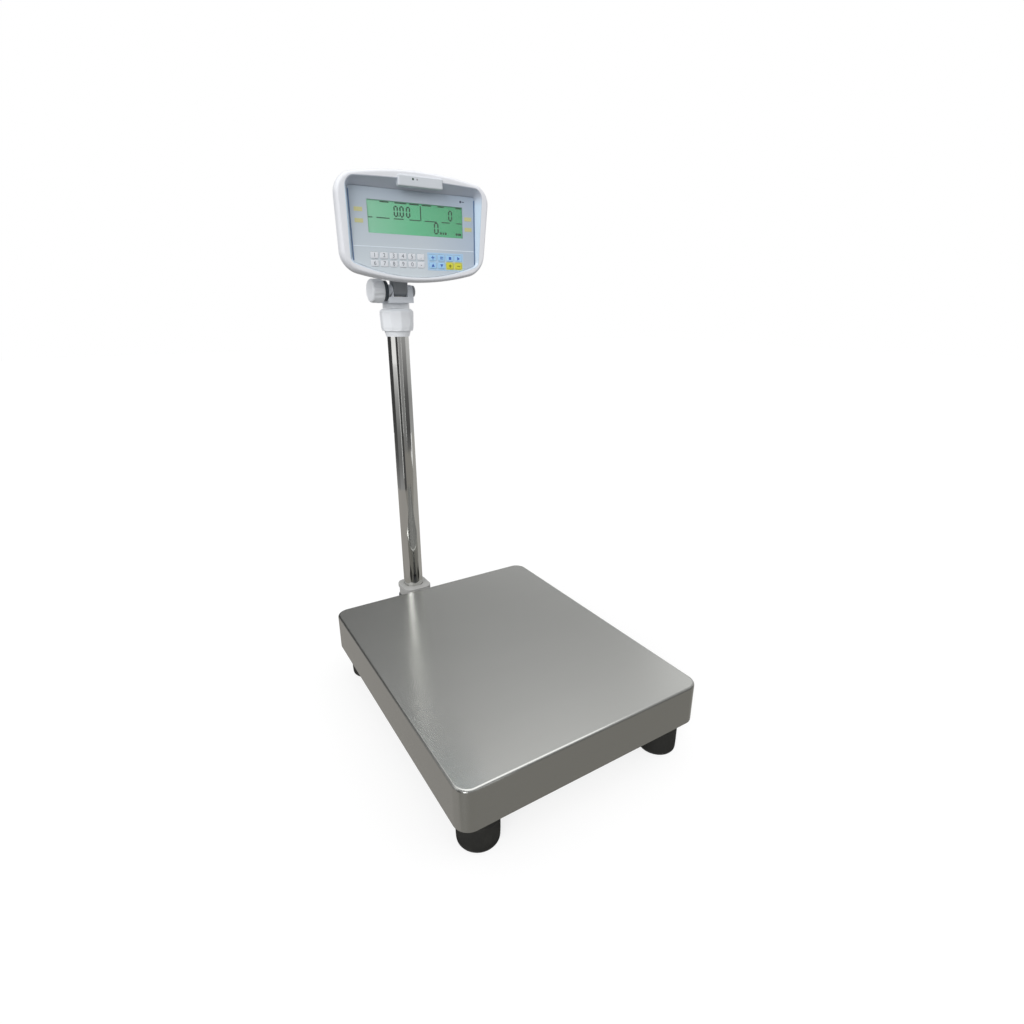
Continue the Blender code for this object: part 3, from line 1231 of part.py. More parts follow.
def build_platform():
    base_frame()
    load_cell()
    cell_spacer("load_cell_lower_spacer", LOWER_SPACER, FIXED_END_Y)
    cell_bolts("load_cell_lower_bolts", TRAY_BOTTOM, CELL_BOTTOM + BOLT_DEPTH, FIXED_END_Y)
    bubble_level()
    carried = [top_frame(), cell_spacer("load_cell_upper_spacer", UPPER_SPACER, FREE_END_Y),
               cell_bolts("load_cell_upper_bolts", TOP_TOP, CELL_TOP - BOLT_DEPTH, FREE_END_Y)]
    carried += list(pan_pads())
    hang(anchor("platform_axis", (0, PAN_Y, TOP_BOTTOM)), *carried)
    weighing_pan()
    for corner, x, y in corners(FOOT_SPREAD_X, FOOT_SPREAD_Y):
        foot(corner, x, y)


def build_pillar():
    pillar_bracket()
    pillar_socket()
    pillar_tube()
    pillar_collar()
    hang(anchor("head_swivel_axis", (0, PILLAR_Y, COLLAR_TOP)), swivel_yoke(), hinge_nut())
    tilt_clamp()


def build_indicator():
    pieces = [rear_shell(), front_bezel(), overlay_panel(), circuit_board(), battery(),
              cable_gland(), power_inlet(), serial_port(), *display()]
    hang(anchor("indicator_tilt_axis", (0, HINGE_Y, HINGE_Z)), *pieces)
    for name, x, z, finish in key_places():
        hang(anchor(name + "_axis", (x, PANEL_Y, z)), key(name, x, z, finish))


build_platform()
build_pillar()
build_indicator()
shade_smooth()
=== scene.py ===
"""The look of a floor counting scale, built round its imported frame.

Lengths are in metres along the frame's own axes: +Z is up and the operator stands at -Y.
Every piece is drawn where it lies, so its object sits at the origin.
"""

import json
import math

import bmesh
import bpy
from mathutils import Matrix, Vector


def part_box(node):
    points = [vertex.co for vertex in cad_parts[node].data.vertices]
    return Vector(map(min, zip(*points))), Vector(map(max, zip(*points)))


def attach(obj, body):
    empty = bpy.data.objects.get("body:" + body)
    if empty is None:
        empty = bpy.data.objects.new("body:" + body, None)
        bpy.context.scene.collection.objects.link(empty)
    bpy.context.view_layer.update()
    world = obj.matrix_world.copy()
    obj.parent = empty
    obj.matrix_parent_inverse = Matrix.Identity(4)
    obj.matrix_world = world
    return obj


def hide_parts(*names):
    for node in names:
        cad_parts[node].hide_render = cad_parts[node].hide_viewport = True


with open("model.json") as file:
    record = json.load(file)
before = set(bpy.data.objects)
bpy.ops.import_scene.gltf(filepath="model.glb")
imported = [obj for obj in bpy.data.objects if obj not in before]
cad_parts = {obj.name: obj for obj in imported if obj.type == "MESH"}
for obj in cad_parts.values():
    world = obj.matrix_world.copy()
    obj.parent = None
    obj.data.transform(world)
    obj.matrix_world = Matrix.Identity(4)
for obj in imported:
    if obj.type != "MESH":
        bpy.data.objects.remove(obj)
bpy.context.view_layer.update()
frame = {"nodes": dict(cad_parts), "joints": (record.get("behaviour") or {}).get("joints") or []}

# Camera and light
CAMERA_PLACE = (-0.4176, -0.7871, 0.6418)
CAMERA_YAW = 31.87          # degrees to the right of +Y
CAMERA_DOWN = 19.57
FOCAL_PIXELS = 576.1
FRAME_PIXELS = 1024
SENSOR_WIDTH = 36.0         # millimetres
AMBIENT = 0.69
KEY_LIGHT = 1.6
FILL_LIGHT = 0.45
FLOOR_ALBEDO = 0.26
FLOOR_SHOWN = 1.05          # the lit floor's level as it is seen: just past white

# Weighing pan
PAN_CORNER = 0.022
PAN_EDGE = 0.004
PAN_SHEET = 0.0015

# Feet
STUD_RADIUS = 0.005
STUD_BORE = 0.0053
THREAD_DEPTH = 0.0006
THREAD_PITCH = 0.0015
STUD_FLANGE = 0.003
STUD_FLANGE_RADIUS = 0.0089
STUD_FLANGE_RISE = 0.0260   # stud's lower end to its flange

# Pillar and swivel yoke
BRACKET_WALL = 0.003
STUB_BORE = 0.012
TUBE_WALL = 0.0015
TUBE_BORE = 0.0203          # the hole that the tube stands in
COLLAR_FACETS = 10
COLLAR_TURN = 12.0          # degrees from +X to a facet's edge
SOCKET_CORNER = 0.016
SOCKET_CAP = 0.009
SOCKET_LIP = 0.002
SOCKET_SCREW_X = 0.014
YOKE_X = -0.005
YOKE_HALF_WIDTH = 0.0235
YOKE_CHEEK = 0.010
BOLT_HOLE = 0.0043

# Indicator housing, as the frame's own solids have it
HALF_BOTTOM = 0.1245
HALF_TOP = 0.133
TOP_BULGE = 0.0150
BOTTOM_BULGE = 0.0185
TOP_CORNER = 0.026
BOTTOM_CORNER = 0.024
HOUSING_WALL = 0.0025
RIM_LEAN = 0.0963
PARTING_LEAN = 0.158
RIM_OFFSET = -0.0012
PARTING_OFFSET = 0.0174
RIM_ROUND = 0.005
BACK_HALF = 0.092
BACK_TOP_DROP = 0.040
BACK_BOTTOM_RISE = 0.027
LUG_HALF_WIDTH = 0.0129
CONNECTOR_HOLE = 0.0070
SCREW_X = 0.078
SCREW_LOW = 0.722           # heights of the housing's screws
SCREW_HIGH = 0.789
SCREW_PROUD = 0.0010
CROSS_REACH = 0.0019        # cross recess: middle to an end
CROSS_WIDTH = 0.0010
CROSS_DEPTH = 0.0006
GLAND_FLUTES = 10
GAP = 0.0003

# Panel and display
PANEL_HALF_TOP = 0.110
PANEL_HALF_BOTTOM = 0.109
PANEL_TOP_BULGE = 0.0005
PANEL_BOTTOM_BULGE = 0.0215
PANEL_CORNER = 0.005
RECESS_SIDE = 0.006
MOUTH_DROP = 0.014
MOUTH_BULGE = 0.0035
MOUTH_CORNER = 0.014
TAB_X = 0.005
TAB_HALF_WIDTH = 0.038
TAB_HEIGHT = 0.016
TAB_DEPTH = 0.012
TAB_DROP = 0.008
TAB_PROUD = 0.0025
STRIPE_WIDTH = 0.0020
FILM = 0.00012              # thickness of printing and of display segments
PRINT_LIFT = 0.00004        # printing off the panel
STRIPE_INSET = 0.0004

# Keys
KEY_CORNER = 0.0020
KEY_FLANGE_WIDER = 0.0008   # the hidden flange stands out this much round the cap
KEY_BORDER = 0.0026         # printed colour round a block of keys

# Places from the frame
PAN_LOW, PAN_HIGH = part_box("weighing_pan")
PANEL_LOW, PANEL_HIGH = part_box("overlay_panel")
BEZEL_LOW, BEZEL_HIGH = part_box("front_bezel")
SHELL_LOW, SHELL_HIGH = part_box("rear_shell")
WINDOW_LOW, WINDOW_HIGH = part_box("display_window")
HOUSING_BOTTOM = BEZEL_LOW.z
HOUSING_TOP = BEZEL_HIGH.z
PANEL_Y = PANEL_LOW.y
SHELL_BACK_Y = SHELL_HIGH.y
HINGE = Vector(next(j["pos_m"] for j in frame["joints"] if j["name"] == "indicator_tilt"))
PILLAR = Vector(next(j["pos_m"] for j in frame["joints"] if j["name"] == "head_swivel"))
PILLAR_FOOT = (PILLAR.x, PILLAR.y, 0)
CORNERS = ("front_left", "front_right", "back_left", "back_right")


# Camera, floor and light

def make_camera():
    camera = bpy.data.objects.new("camera", bpy.data.cameras.new("camera"))
    camera.location = CAMERA_PLACE
    camera.rotation_euler = (math.radians(90 - CAMERA_DOWN), 0, math.radians(-CAMERA_YAW))
    camera.data.sensor_width = SENSOR_WIDTH
    camera.data.lens = SENSOR_WIDTH * FOCAL_PIXELS / FRAME_PIXELS
    bpy.context.scene.collection.objects.link(camera)
    bpy.context.scene.camera = camera


def seen_directly(nodes, links):
    """One for rays from the camera, a reflection or glass, and nought for the rest."""
    path = nodes.new("ShaderNodeLightPath")
    total = path.outputs["Is Camera Ray"]
    for name in ("Is Glossy Ray", "Is Transmission Ray"):
        either = nodes.new("ShaderNodeMath")
        either.operation = "MAXIMUM"
        links.new(total, either.inputs[0])
        links.new(path.outputs[name], either.inputs[1])
        total = either.outputs[0]
    return total


def make_world():
    world = bpy.data.worlds.new("studio")
    world.use_nodes = True
    nodes = world.node_tree.nodes
    links = world.node_tree.links
    light = nodes["Background"]
    light.inputs["Color"].default_value = (1, 1, 1, 1)
    level = nodes.new("ShaderNodeMapRange")
    links.new(seen_directly(nodes, links), level.inputs["Value"])
    level.inputs["To Min"].default_value = AMBIENT
    level.inputs["To Max"].default_value = 1.0
    links.new(level.outputs["Result"], light.inputs["Strength"])
    bpy.context.scene.world = world


def make_sun(name, strength, softness, from_x, from_y, from_z):
    sun = bpy.data.lights.new(name, "SUN")
    sun.energy = strength
    sun.angle = math.radians(softness)
    obj = bpy.data.objects.new(name, sun)
    obj.rotation_euler = Vector((from_x, from_y, from_z)).to_track_quat("Z", "Y").to_euler()
    bpy.context.scene.collection.objects.link(obj)


def flat_mesh(name, corners):
    mesh = bpy.data.meshes.new(name)
    mesh.from_pydata(corners, [], [list(range(len(corners)))])
    return mesh


def make_floor():
    """A pale floor that shows as white where it is lit, and keeps the scale's shadow."""
    reach = 9.0
    mesh = flat_mesh("floor", [(-reach, -reach, 0), (reach, -reach, 0), (reach, reach, 0),
                               (-reach, reach, 0)])
    floor = bpy.data.objects.new("floor", mesh)
    bpy.context.scene.collection.objects.link(floor)
    pale = bpy.data.materials.new("pale_floor")
    pale.use_nodes = True
    nodes = pale.node_tree.nodes
    links = pale.node_tree.links
    shader = nodes["Principled BSDF"]
    shader.inputs["Base Color"].default_value = (FLOOR_ALBEDO, FLOOR_ALBEDO, FLOOR_ALBEDO, 1)
    shader.inputs["Roughness"].default_value = 1.0
    shader.inputs["Specular IOR Level"].default_value = 0.0
    shader.inputs["Emission Color"].default_value = (1, 1, 1, 1)
    lift = nodes.new("ShaderNodeMath")
    lift.operation = "MULTIPLY"
    links.new(seen_directly(nodes, links), lift.inputs[0])
    lift.inputs[1].default_value = FLOOR_SHOWN - FLOOR_ALBEDO
    links.new(lift.outputs[0], shader.inputs["Emission Strength"])
    mesh.materials.append(pale)


def make_card(name, mesh, colour, turned=0.0):
    """A studio card that shows only in reflections, and the finish that it is given."""
    card = bpy.data.objects.new(name, mesh)
    card.location = (PILLAR.x, PILLAR.y, 0)
    card.rotation_euler = (0, 0, math.radians(turned))
    bpy.context.scene.collection.objects.link(card)
    finish = Finish(name, (0, 0, 0, 1), 1.0, settings={
        "Specular IOR Level": 0.0, "Emission Color": (*colour, 1), "Emission Strength": 1.0})
    mesh.materials.append(finish.material)
    card.visible_camera = False
    card.visible_diffuse = False
    card.visible_shadow = False
    card.visible_transmission = False
    return finish


def standing_card(name, distance, first, last, stops, fade=(1.0, 1.0)):
    """A card in an arc round the pillar, between two directions in degrees from +X. Its level
    passes through the stops, each a height and a level, and fades along the arc."""
    steps = 16
    low = stops[0][0]
    high = stops[-1][0]
    span = math.radians(last - first)
    points = [(distance * math.cos(span * i / steps), distance * math.sin(span * i / steps), z)
              for z in (low, high) for i in range(steps + 1)]
    mesh = bpy.data.meshes.new(name)
    mesh.from_pydata(points, [], [(i, i + 1, i + steps + 2, i + steps + 1) for i in range(steps)])
    finish = make_card(name, mesh, (1, 1, 1), first)
    rise = finish.add("ShaderNodeValToRGB", {"Fac": finish.along("Z", low, high)})
    ramp = rise.color_ramp.elements
    for height, level in stops[1:-1]:
        ramp.new((height - low) / (high - low)).color = (level, level, level, 1)
    for element, (height, level) in ((ramp[0], stops[0]), (ramp[len(ramp) - 1], stops[-1])):
        element.color = (level, level, level, 1)
    finish.links.new(rise.outputs["Color"], finish.shader.inputs["Emission Color"])
    place = finish.add("ShaderNodeTexCoord").outputs["Object"]
    parts = finish.add("ShaderNodeSeparateXYZ", {"Vector": place})
    angle = finish.add("ShaderNodeMath", {0: parts.outputs["Y"], 1: parts.outputs["X"]},
                       operation="ARCTAN2")
    share = finish.levels(angle.outputs["Value"], *fade, 0, span)
    finish.links.new(share, finish.shader.inputs["Emission Strength"])


def lying_card(name, low, high, height, colour):
    """A level card between two corners, given from the pillar."""
    corners = [(low[0], low[1], height), (high[0], low[1], height), (high[0], high[1], height),
               (low[0], high[1], height)]
    make_card(name, flat_mesh(name, corners), colour)


def make_cards():
    """Cards whose reflections give the polished pillar and the brushed pan their bands."""
    standing_card("card_left", 0.9, 100, 166, ((0.02, 0.26), (0.14, 0.10), (0.3, 0.06), (1.0, 0.05)))
    standing_card("card_left_low", 0.9, 166, 214, ((0.02, 0.34), (0.12, 0.20), (0.22, 0.20),
                                                   (0.34, 0.36), (0.46, 0.75)))
    standing_card("card_camera", 0.9, 218, 242, ((0.02, 0.08), (1.1, 0.05)))
    standing_card("card_front", 1.5, 245, 276, ((0.02, 0.22), (0.25, 0.26), (0.55, 0.42),
                                                (1.1, 0.42)))
    standing_card("card_front_right", 1.5, 278, 328, ((0.02, 0.14), (0.12, 0.08), (0.28, 0.12),
                                                      (0.5, 0.36), (1.1, 0.40)))
    standing_card("card_right", 1.9, -32, 70, ((0.02, 0.40), (0.2, 0.34), (0.5, 0.66), (1.0, 0.70)))
    standing_card("card_back", 1.9, 70, 100, ((0.02, 0.2), (1.0, 0.14)))
    standing_card("card_behind", 2.6, 30, 106, ((1.0, 0.36), (1.45, 0.46), (2.0, 0.61), (2.7, 0.86),
                                                (3.6, 1.0)), (1.0, 0.12))
    for name, first, last in (("card_high_left", 112, 164), ("card_high_front", 222, 366)):
        standing_card(name, 2.6, first, last, ((1.0, 0.30), (2.0, 0.48), (3.6, 0.60)))
    lying_card("card_above", (-1.2, -1.6), (1.6, 0.6), 2.6, (1.9, 1.9, 1.9))
    left, front = PAN_LOW.x, PAN_LOW.y - PILLAR.y
    right, back = PAN_HIGH.x, PAN_HIGH.y - PILLAR.y
    for name, low, high, colour in (
            ("front", (-0.9, -1.8), (1.1, front), (0.28, 0.27, 0.25)),
            ("left", (-1.6, front), (left, 0.9), (0.38, 0.365, 0.345)),
            # The card under the pan is painted shade: it stands for the floor's shadow beneath the pan
            # in reflections.
            ("under", (left, front), (right, back), (0.12, 0.12, 0.11)),
            ("back", (left, back), (right, 1.9), (0.34, 0.33, 0.31)),
            ("right", (right, front), (2.0, 1.9), (0.42, 0.41, 0.39))):
        lying_card("card_floor_" + name, low, high, 0.004, colour)


# Materials

def screen(red, green, blue):
    """A colour as a shader takes it, from its values on a screen."""
    def one(value):
        share = value / 255
        return share / 12.92 if share <= 0.04045 else ((share + 0.055) / 1.055) ** 2.4
    return (one(red), one(green), one(blue), 1.0)


class Finish:
    """A Principled material, and the procedural detail that goes on it."""

    def __init__(self, name, colour, roughness, metallic=0.0, settings=None):
        self.material = bpy.data.materials.new(name)
        self.material.use_nodes = True
        self.nodes = self.material.node_tree.nodes
        self.links = self.material.node_tree.links
        self.shader = self.nodes["Principled BSDF"]
        values = {"Base Color": colour, "Roughness": roughness, "Metallic": metallic}
        for socket, value in {**values, **(settings or {})}.items():
            self.shader.inputs[socket].default_value = value

    def add(self, kind, inputs=None, **settings):
        node = self.nodes.new(kind)
        for key, value in settings.items():
            setattr(node, key, value)
        for socket, value in (inputs or {}).items():
            if isinstance(value, bpy.types.NodeSocket):
                self.links.new(value, node.inputs[socket])
            else:
                node.inputs[socket].default_value = value
        return node

    def grain(self, scale, stretch=(1, 1, 1), detail=3.0):
        """Noise over the piece. The scale is its grains in a metre."""
        place = self.add("ShaderNodeTexCoord").outputs["Object"]
        wide = self.add("ShaderNodeMapping", {"Vector": place, "Scale": stretch})
        noise = self.add("ShaderNodeTexNoise", {"Vector": wide.outputs["Vector"], "Scale": scale,
                                                "Detail": detail})
        return noise.outputs["Fac"]

    def along(self, axis, start, end):
        """A value that rises from nought to one between two places along an axis."""
        place = self.add("ShaderNodeTexCoord").outputs["Object"]
        parts = self.add("ShaderNodeSeparateXYZ", {"Vector": place})
        rise = self.add("ShaderNodeMapRange", {"Value": parts.outputs[axis], "From Min": start,
                                               "From Max": end})
        return rise.outputs["Result"]

    def levels(self, value, low, high, start=0.3, end=0.7):
        """The value spread between two levels."""
        spread = self.add("ShaderNodeMapRange", {"Value": value, "From Min": start,
                                                 "From Max": end, "To Min": low, "To Max": high})
        return spread.outputs["Result"]

    def mix(self, factor, first, second, blend="MIX"):
        node = self.add("ShaderNodeMix", data_type="RGBA", blend_type=blend)
        pairs = ((node.inputs[0], factor), (node.inputs[6], first), (node.inputs[7], second))
        for socket, value in pairs:
            if isinstance(value, bpy.types.NodeSocket):
                self.links.new(value, socket)
            else:
                socket.default_value = value
        return node.outputs[2]

    def colour(self, output):
        self.links.new(output, self.shader.inputs["Base Color"])

    def roughness(self, output):
        self.links.new(output, self.shader.inputs["Roughness"])

    def brush_along_x(self, share):
        """Reflections that spread across brush marks along X, and less along them."""
        normal = self.add("ShaderNodeNewGeometry").outputs["Normal"]
        across = self.add("ShaderNodeVectorMath", {0: normal, 1: (1.0, 0.05, 0.0)},
                          operation="CROSS_PRODUCT")
        self.links.new(across.outputs["Vector"], self.shader.inputs["Tangent"])
        self.shader.inputs["Anisotropic"].default_value = share

    def bump(self, height, depth):
        """Relief of the given depth, added to what is there."""
        relief = self.add("ShaderNodeBump", {"Height": height, "Distance": depth})
        socket = self.shader.inputs["Normal"]
        if socket.links:
            self.links.new(socket.links[0].from_socket, relief.inputs["Normal"])
        self.links.new(relief.outputs["Normal"], socket)


def shade(colour, share):
    """The colour at a share of its strength."""
    return tuple(channel * share for channel in colour[:3]) + (1.0,)


def brushed(name, colour, stretch, roughness=0.30):
    """Brushed metal whose lines run along the axis that is stretched least."""
    finish = Finish(name, colour, roughness, 1.0)
    lines = finish.grain(1100, stretch, 2)
    clouds = finish.grain(6, detail=2)
    tone = finish.mix(finish.levels(lines, 0, 1), shade(colour, 0.985), shade(colour, 1.015))
    finish.colour(finish.mix(finish.levels(clouds, 0, 0.5), tone, shade(colour, 0.97)))
    finish.roughness(finish.levels(lines, roughness - 0.01, roughness + 0.015))
    finish.bump(lines, 0.0000002)
    return finish


def pan_steel():
    """The pan's satin steel, brushed across from side to side."""
    finish = brushed("pan_steel", (0.525, 0.53, 0.51, 1.0), (0.006, 1, 1), 0.22)
    finish.brush_along_x(0.8)
    return finish.material


def polished(name, colour, roughness):
    finish = Finish(name, colour, roughness, 1.0)
    haze = finish.grain(60, (1, 1, 0.05), 3)
    finish.roughness(finish.levels(haze, roughness * 0.7, roughness * 1.6))
    finish.colour(finish.mix(finish.levels(haze, 0, 1), shade(colour, 0.94), colour))
    return finish.material


def moulded(name, colour, roughness, texture=0.00002, scale=1400):
    """Injection moulded plastic: a fine spark texture and faint flow marks."""
    finish = Finish(name, colour, roughness, settings={"Specular IOR Level": 0.4})
    spark = finish.grain(scale, detail=2)
    flow = finish.grain(9, (1, 1, 2.5), 2)
    finish.colour(finish.mix(finish.levels(flow, 0, 1), shade(colour, 0.965), colour))
    finish.roughness(finish.levels(spark, roughness - 0.05, roughness + 0.08))
    finish.bump(spark, texture)
    return finish.material


def recess_plastic_painted_light():
    """The panel's surround: grey under the hood from painted shade, pale blue at the sides from a
    painted highlight, and white at the bottom.
    """
    finish = Finish("recess_plastic_painted_light", screen(176, 183, 194), 0.42)
    sides = finish.along("Z", PANEL_LOW.z, PANEL_LOW.z + 0.035)
    # The grey band under the hood is painted shade.
    hood = finish.along("Z", PANEL_HIGH.z - 0.014, PANEL_HIGH.z + 0.001)
    # The pale blue on the side walls is a painted highlight.
    pale = finish.mix(sides, screen(230, 235, 242), screen(205, 225, 242))
    spark = finish.grain(1400, detail=2)
    finish.colour(finish.mix(hood, pale, screen(190, 196, 208)))
    finish.roughness(finish.levels(spark, 0.38, 0.50))
    finish.bump(spark, 0.00002)
    return finish.material


def rubber():
    colour = screen(40, 40, 38)
    finish = Finish("foot_rubber", colour, 0.62, settings={"Specular IOR Level": 0.3})
    grain = finish.grain(700, detail=3)
    dust = finish.grain(26, detail=4)
    finish.colour(finish.mix(finish.levels(dust, 0, 0.6, 0.5, 0.75), colour, screen(66, 65, 62)))
    finish.roughness(finish.levels(grain, 0.55, 0.75))
    finish.bump(grain, 0.00005)
    return finish.material


def powder_coat():
    colour = screen(92, 94, 96)
    finish = Finish("powder_coat", colour, 0.45)
    peel = finish.grain(420, detail=2)
    tone = finish.grain(14, detail=3)
    finish.colour(finish.mix(finish.levels(tone, 0, 1), shade(colour, 0.9), shade(colour, 1.08)))
    finish.bump(peel, 0.00006)
    return finish.material


def cast_aluminium():
    colour = (0.66, 0.67, 0.68, 1.0)
    finish = Finish("machined_aluminium", colour, 0.32, 1.0)
    cut = finish.grain(240, (1, 0.05, 1), 3)
    finish.roughness(finish.levels(cut, 0.26, 0.42))
    finish.colour(finish.mix(finish.levels(cut, 0, 1), shade(colour, 0.9), colour))
    finish.bump(cut, 0.00002)
    return finish.material


def panel_film():
    """The printed film: greyer at the top and paler at the bottom, with a fine matt texture."""
    finish = Finish("panel_film", screen(190, 202, 212), 0.38)
    down = finish.along("Z", PANEL_HIGH.z, PANEL_LOW.z)
    across = finish.along("X", -PANEL_HALF_TOP, PANEL_HALF_TOP)
    base = finish.mix(down, screen(172, 185, 198), screen(212, 221, 227))
    base = finish.mix(finish.levels(across, 0, 0.7, 0.55, 1), base, screen(168, 186, 208))
    cloud = finish.grain(22, detail=2)
    finish.colour(finish.mix(finish.levels(cloud, 0, 0.2), base, screen(198, 208, 218)))
    texture = finish.grain(2600, detail=1)
    finish.roughness(finish.levels(texture, 0.32, 0.46))
    finish.bump(texture, 0.00001)
    return finish.material


def display_green():
    """The lit green of the display, paler towards its left end."""
    pale = screen(130, 192, 160)
    middle = screen(92, 182, 136)
    deep = screen(70, 160, 112)
    finish = Finish("display_green", middle, 0.35, settings={"Emission Strength": 0.15})
    across = finish.along("X", WINDOW_LOW.x, WINDOW_HIGH.x)
    cells = finish.grain(1800, detail=0)
    tone = finish.mix(finish.levels(across, 0, 1, 0, 0.45), pale, middle)
    tone = finish.mix(finish.levels(across, 0, 1, 0.45, 1), tone, deep)
    tone = finish.mix(finish.levels(cells, 0, 0.08), tone, screen(60, 130, 90))
    finish.colour(tone)
    finish.links.new(tone, finish.shader.inputs["Emission Color"])
    return finish.material


def clear_window():
    finish = Finish("clear_window", (0.7, 0.85, 0.75, 1), 0.06,
                    settings={"Alpha": 0.05, "IOR": 1.49})
    smear = finish.grain(30, detail=2)
    finish.roughness(finish.levels(smear, 0.04, 0.12))
    return finish.material


def board_green():
    finish = Finish("solder_mask", (0.03, 0.22, 0.09, 1), 0.4)
    tracks = finish.grain(260, (1, 1, 6), 1)
    finish.colour(finish.mix(finish.levels(tracks, 0, 1, 0.48, 0.52), (0.02, 0.17, 0.07, 1),
                             (0.05, 0.28, 0.12, 1)))
    return finish.material


def vial_fluid():
    """The level's green fluid behind its clear cap, faintly cloudy."""
    colour = screen(150, 205, 60)
    finish = Finish("vial_fluid", colour, 0.08)
    clouds = finish.grain(160, detail=2)
    finish.colour(finish.mix(finish.levels(clouds, 0, 1), shade(colour, 0.9), colour))
    return finish.material


def ink(name, colour):
    """Printed ink, faintly uneven."""
    finish = Finish(name, colour, 0.42)
    spread = finish.grain(900, detail=2)
    finish.colour(finish.mix(finish.levels(spread, 0, 1), shade(colour, 0.93), colour))
    return finish.material


def make_materials():
    return {
        "pan_steel": pan_steel(),
        "chrome": polished("chrome_tube", (0.72, 0.72, 0.70, 1), 0.05),
        "zinc": brushed("zinc_plate", (0.55, 0.55, 0.53, 1), (1, 1, 0.3), 0.34).material,
        "rubber": rubber(),
        "frame": powder_coat(),
        "aluminium": cast_aluminium(),
        "pale_grey": moulded("pale_grey_plastic", screen(244, 247, 251), 0.40),
        "grey": moulded("grey_plastic", screen(232, 237, 244), 0.40),
        "socket": moulded("socket_plastic", screen(178, 178, 176), 0.42),
        "white": moulded("housing_plastic", screen(240, 242, 247), 0.36),
        "tab": moulded("tab_plastic", screen(212, 217, 223), 0.38),
        "recess": recess_plastic_painted_light(),
        "black": moulded("black_plastic", screen(44, 46, 50), 0.45),
        "washer": moulded("washer_rubber", screen(66, 73, 80), 0.5),
        "boss": moulded("boss_plastic", screen(160, 163, 168), 0.42),
        # The lug's darker grey is painted shade: it is the housing's plastic, darkened for the shadow
        # between the yoke's cheeks.
        "lug": moulded("lug_plastic_painted_shade", screen(146, 150, 155), 0.45),
        "panel": panel_film(),
        "display": display_green(),
        "window": clear_window(),
        "board": board_green(),
        "white_key": moulded("white_key", screen(226, 230, 236), 0.38),
        "blue_key": moulded("blue_key", screen(168, 212, 248), 0.38),
        "yellow_key": moulded("yellow_key", screen(218, 216, 70), 0.38),
        "grey_ink": ink("grey_ink", screen(112, 118, 126)),
        "blue_ink": ink("blue_ink", screen(58, 98, 186)),
        "olive_ink": ink("olive_ink", screen(140, 140, 22)),
        "stripe_ink": ink("stripe_ink", screen(96, 122, 160)),
        "lamp_ink": ink("lamp_ink", screen(84, 92, 112)),
        "blue_block": ink("blue_block_ink", screen(178, 212, 242)),
        "yellow_block": ink("yellow_block_ink", screen(222, 220, 120)),
        "pale_ink": ink("pale_ink", screen(230, 240, 250)),
        "label_ink": ink("label_ink", screen(206, 204, 150)),
        "segment": ink("display_segment", screen(24, 66, 46)),
        "vial": vial_fluid(),
    }


# Shapes

AXES = {
    "X": lambda u, v, w: Vector((w, u, v)),
    "Y": lambda u, v, w: Vector((v, w, u)),
    "Z": lambda u, v, w: Vector((u, v, w)),
}


def skin(shape, rings, closed=False, slot=0):
    """Faces through rings of points, listed for each pair of rings. A ring of one point is a
    pole. An open row of rings is capped at both ends."""
    made = [[shape.verts.new(point) for point in ring] for ring in rings]
    pairs = list(zip(made, made[1:]))
    if closed:
        pairs.append((made[-1], made[0]))
    bands = []
    for near, far in pairs:
        count = max(len(near), len(far))
        band = []
        for i in range(count):
            j = (i + 1) % count
            corner = (near[i % len(near)], near[j % len(near)], far[j % len(far)],
                      far[i % len(far)])
            band.append(shape.faces.new(list(dict.fromkeys(corner))))
        bands.append(band)
    if not closed:
        bands += [[shape.faces.new(ring)] for ring in (made[0], made[-1]) if len(ring) > 2]
    for face in (face for band in bands for face in band):
        face.material_index = slot
    return bands


def fillet(points, radius, steps=4, closed=False):
    """A line of points with its corners rounded. A third number in a point is its own radius."""
    count = len(points)
    result = []
    for i, (u, v, *own) in enumerate(points):
        if not closed and i in (0, count - 1):
            result.append((u, v))
            continue
        here = Vector((u, v))
        before = Vector(points[i - 1][:2])
        after = Vector(points[(i + 1) % count][:2])
        back = before - here
        on = after - here
        wide = own[0] if own else radius
        reach = min(wide, back.length * 0.48, on.length * 0.48)
        if reach < 1e-6:
            result.append((u, v))
            continue
        start = here + back.normalized() * reach
        end = here + on.normalized() * reach
        for k in range(steps + 1):
            t = k / steps
            point = start * (1 - t) ** 2 + here * 2 * t * (1 - t) + end * t * t
            result.append((point.x, point.y))
    return result


def circle(radius, height, centre, axis, steps):
    """A ring of points round an axis, or one point where the radius is nought."""
    place = AXES[axis]
    if radius < 1e-7:
        return [Vector(centre) + place(0, 0, height)]
    turns = [2 * math.pi * i / steps for i in range(steps)]
    return [Vector(centre) + place(radius * math.cos(a), radius * math.sin(a), height)
            for a in turns]


def turn(shape, profile, centre, axis="Z", steps=64, closed=False, slot=0):
    """A turned body from its radius and height."""
    skin(shape, [circle(r, h, centre, axis, steps) for r, h in profile], closed, slot)


def slab(shape, low, high, edge, steps=3, slot=0):
    """A block with rounded edges, between two corners."""
    low = Vector(low)
    high = Vector(high)
    made = bmesh.ops.create_cube(shape, size=1.0, matrix=Matrix.Translation((low + high) / 2)
                                 @ Matrix.Diagonal((*(high - low), 1.0)))
    edges = {line for vert in made["verts"] for line in vert.link_edges}
    faces = {face for vert in made["verts"] for face in vert.link_faces}
    for face in faces:
        face.material_index = slot
    if edge:
        bmesh.ops.bevel(shape, geom=list(edges), offset=edge, offset_type="OFFSET",
                        segments=steps, profile=0.5, affect="EDGES")


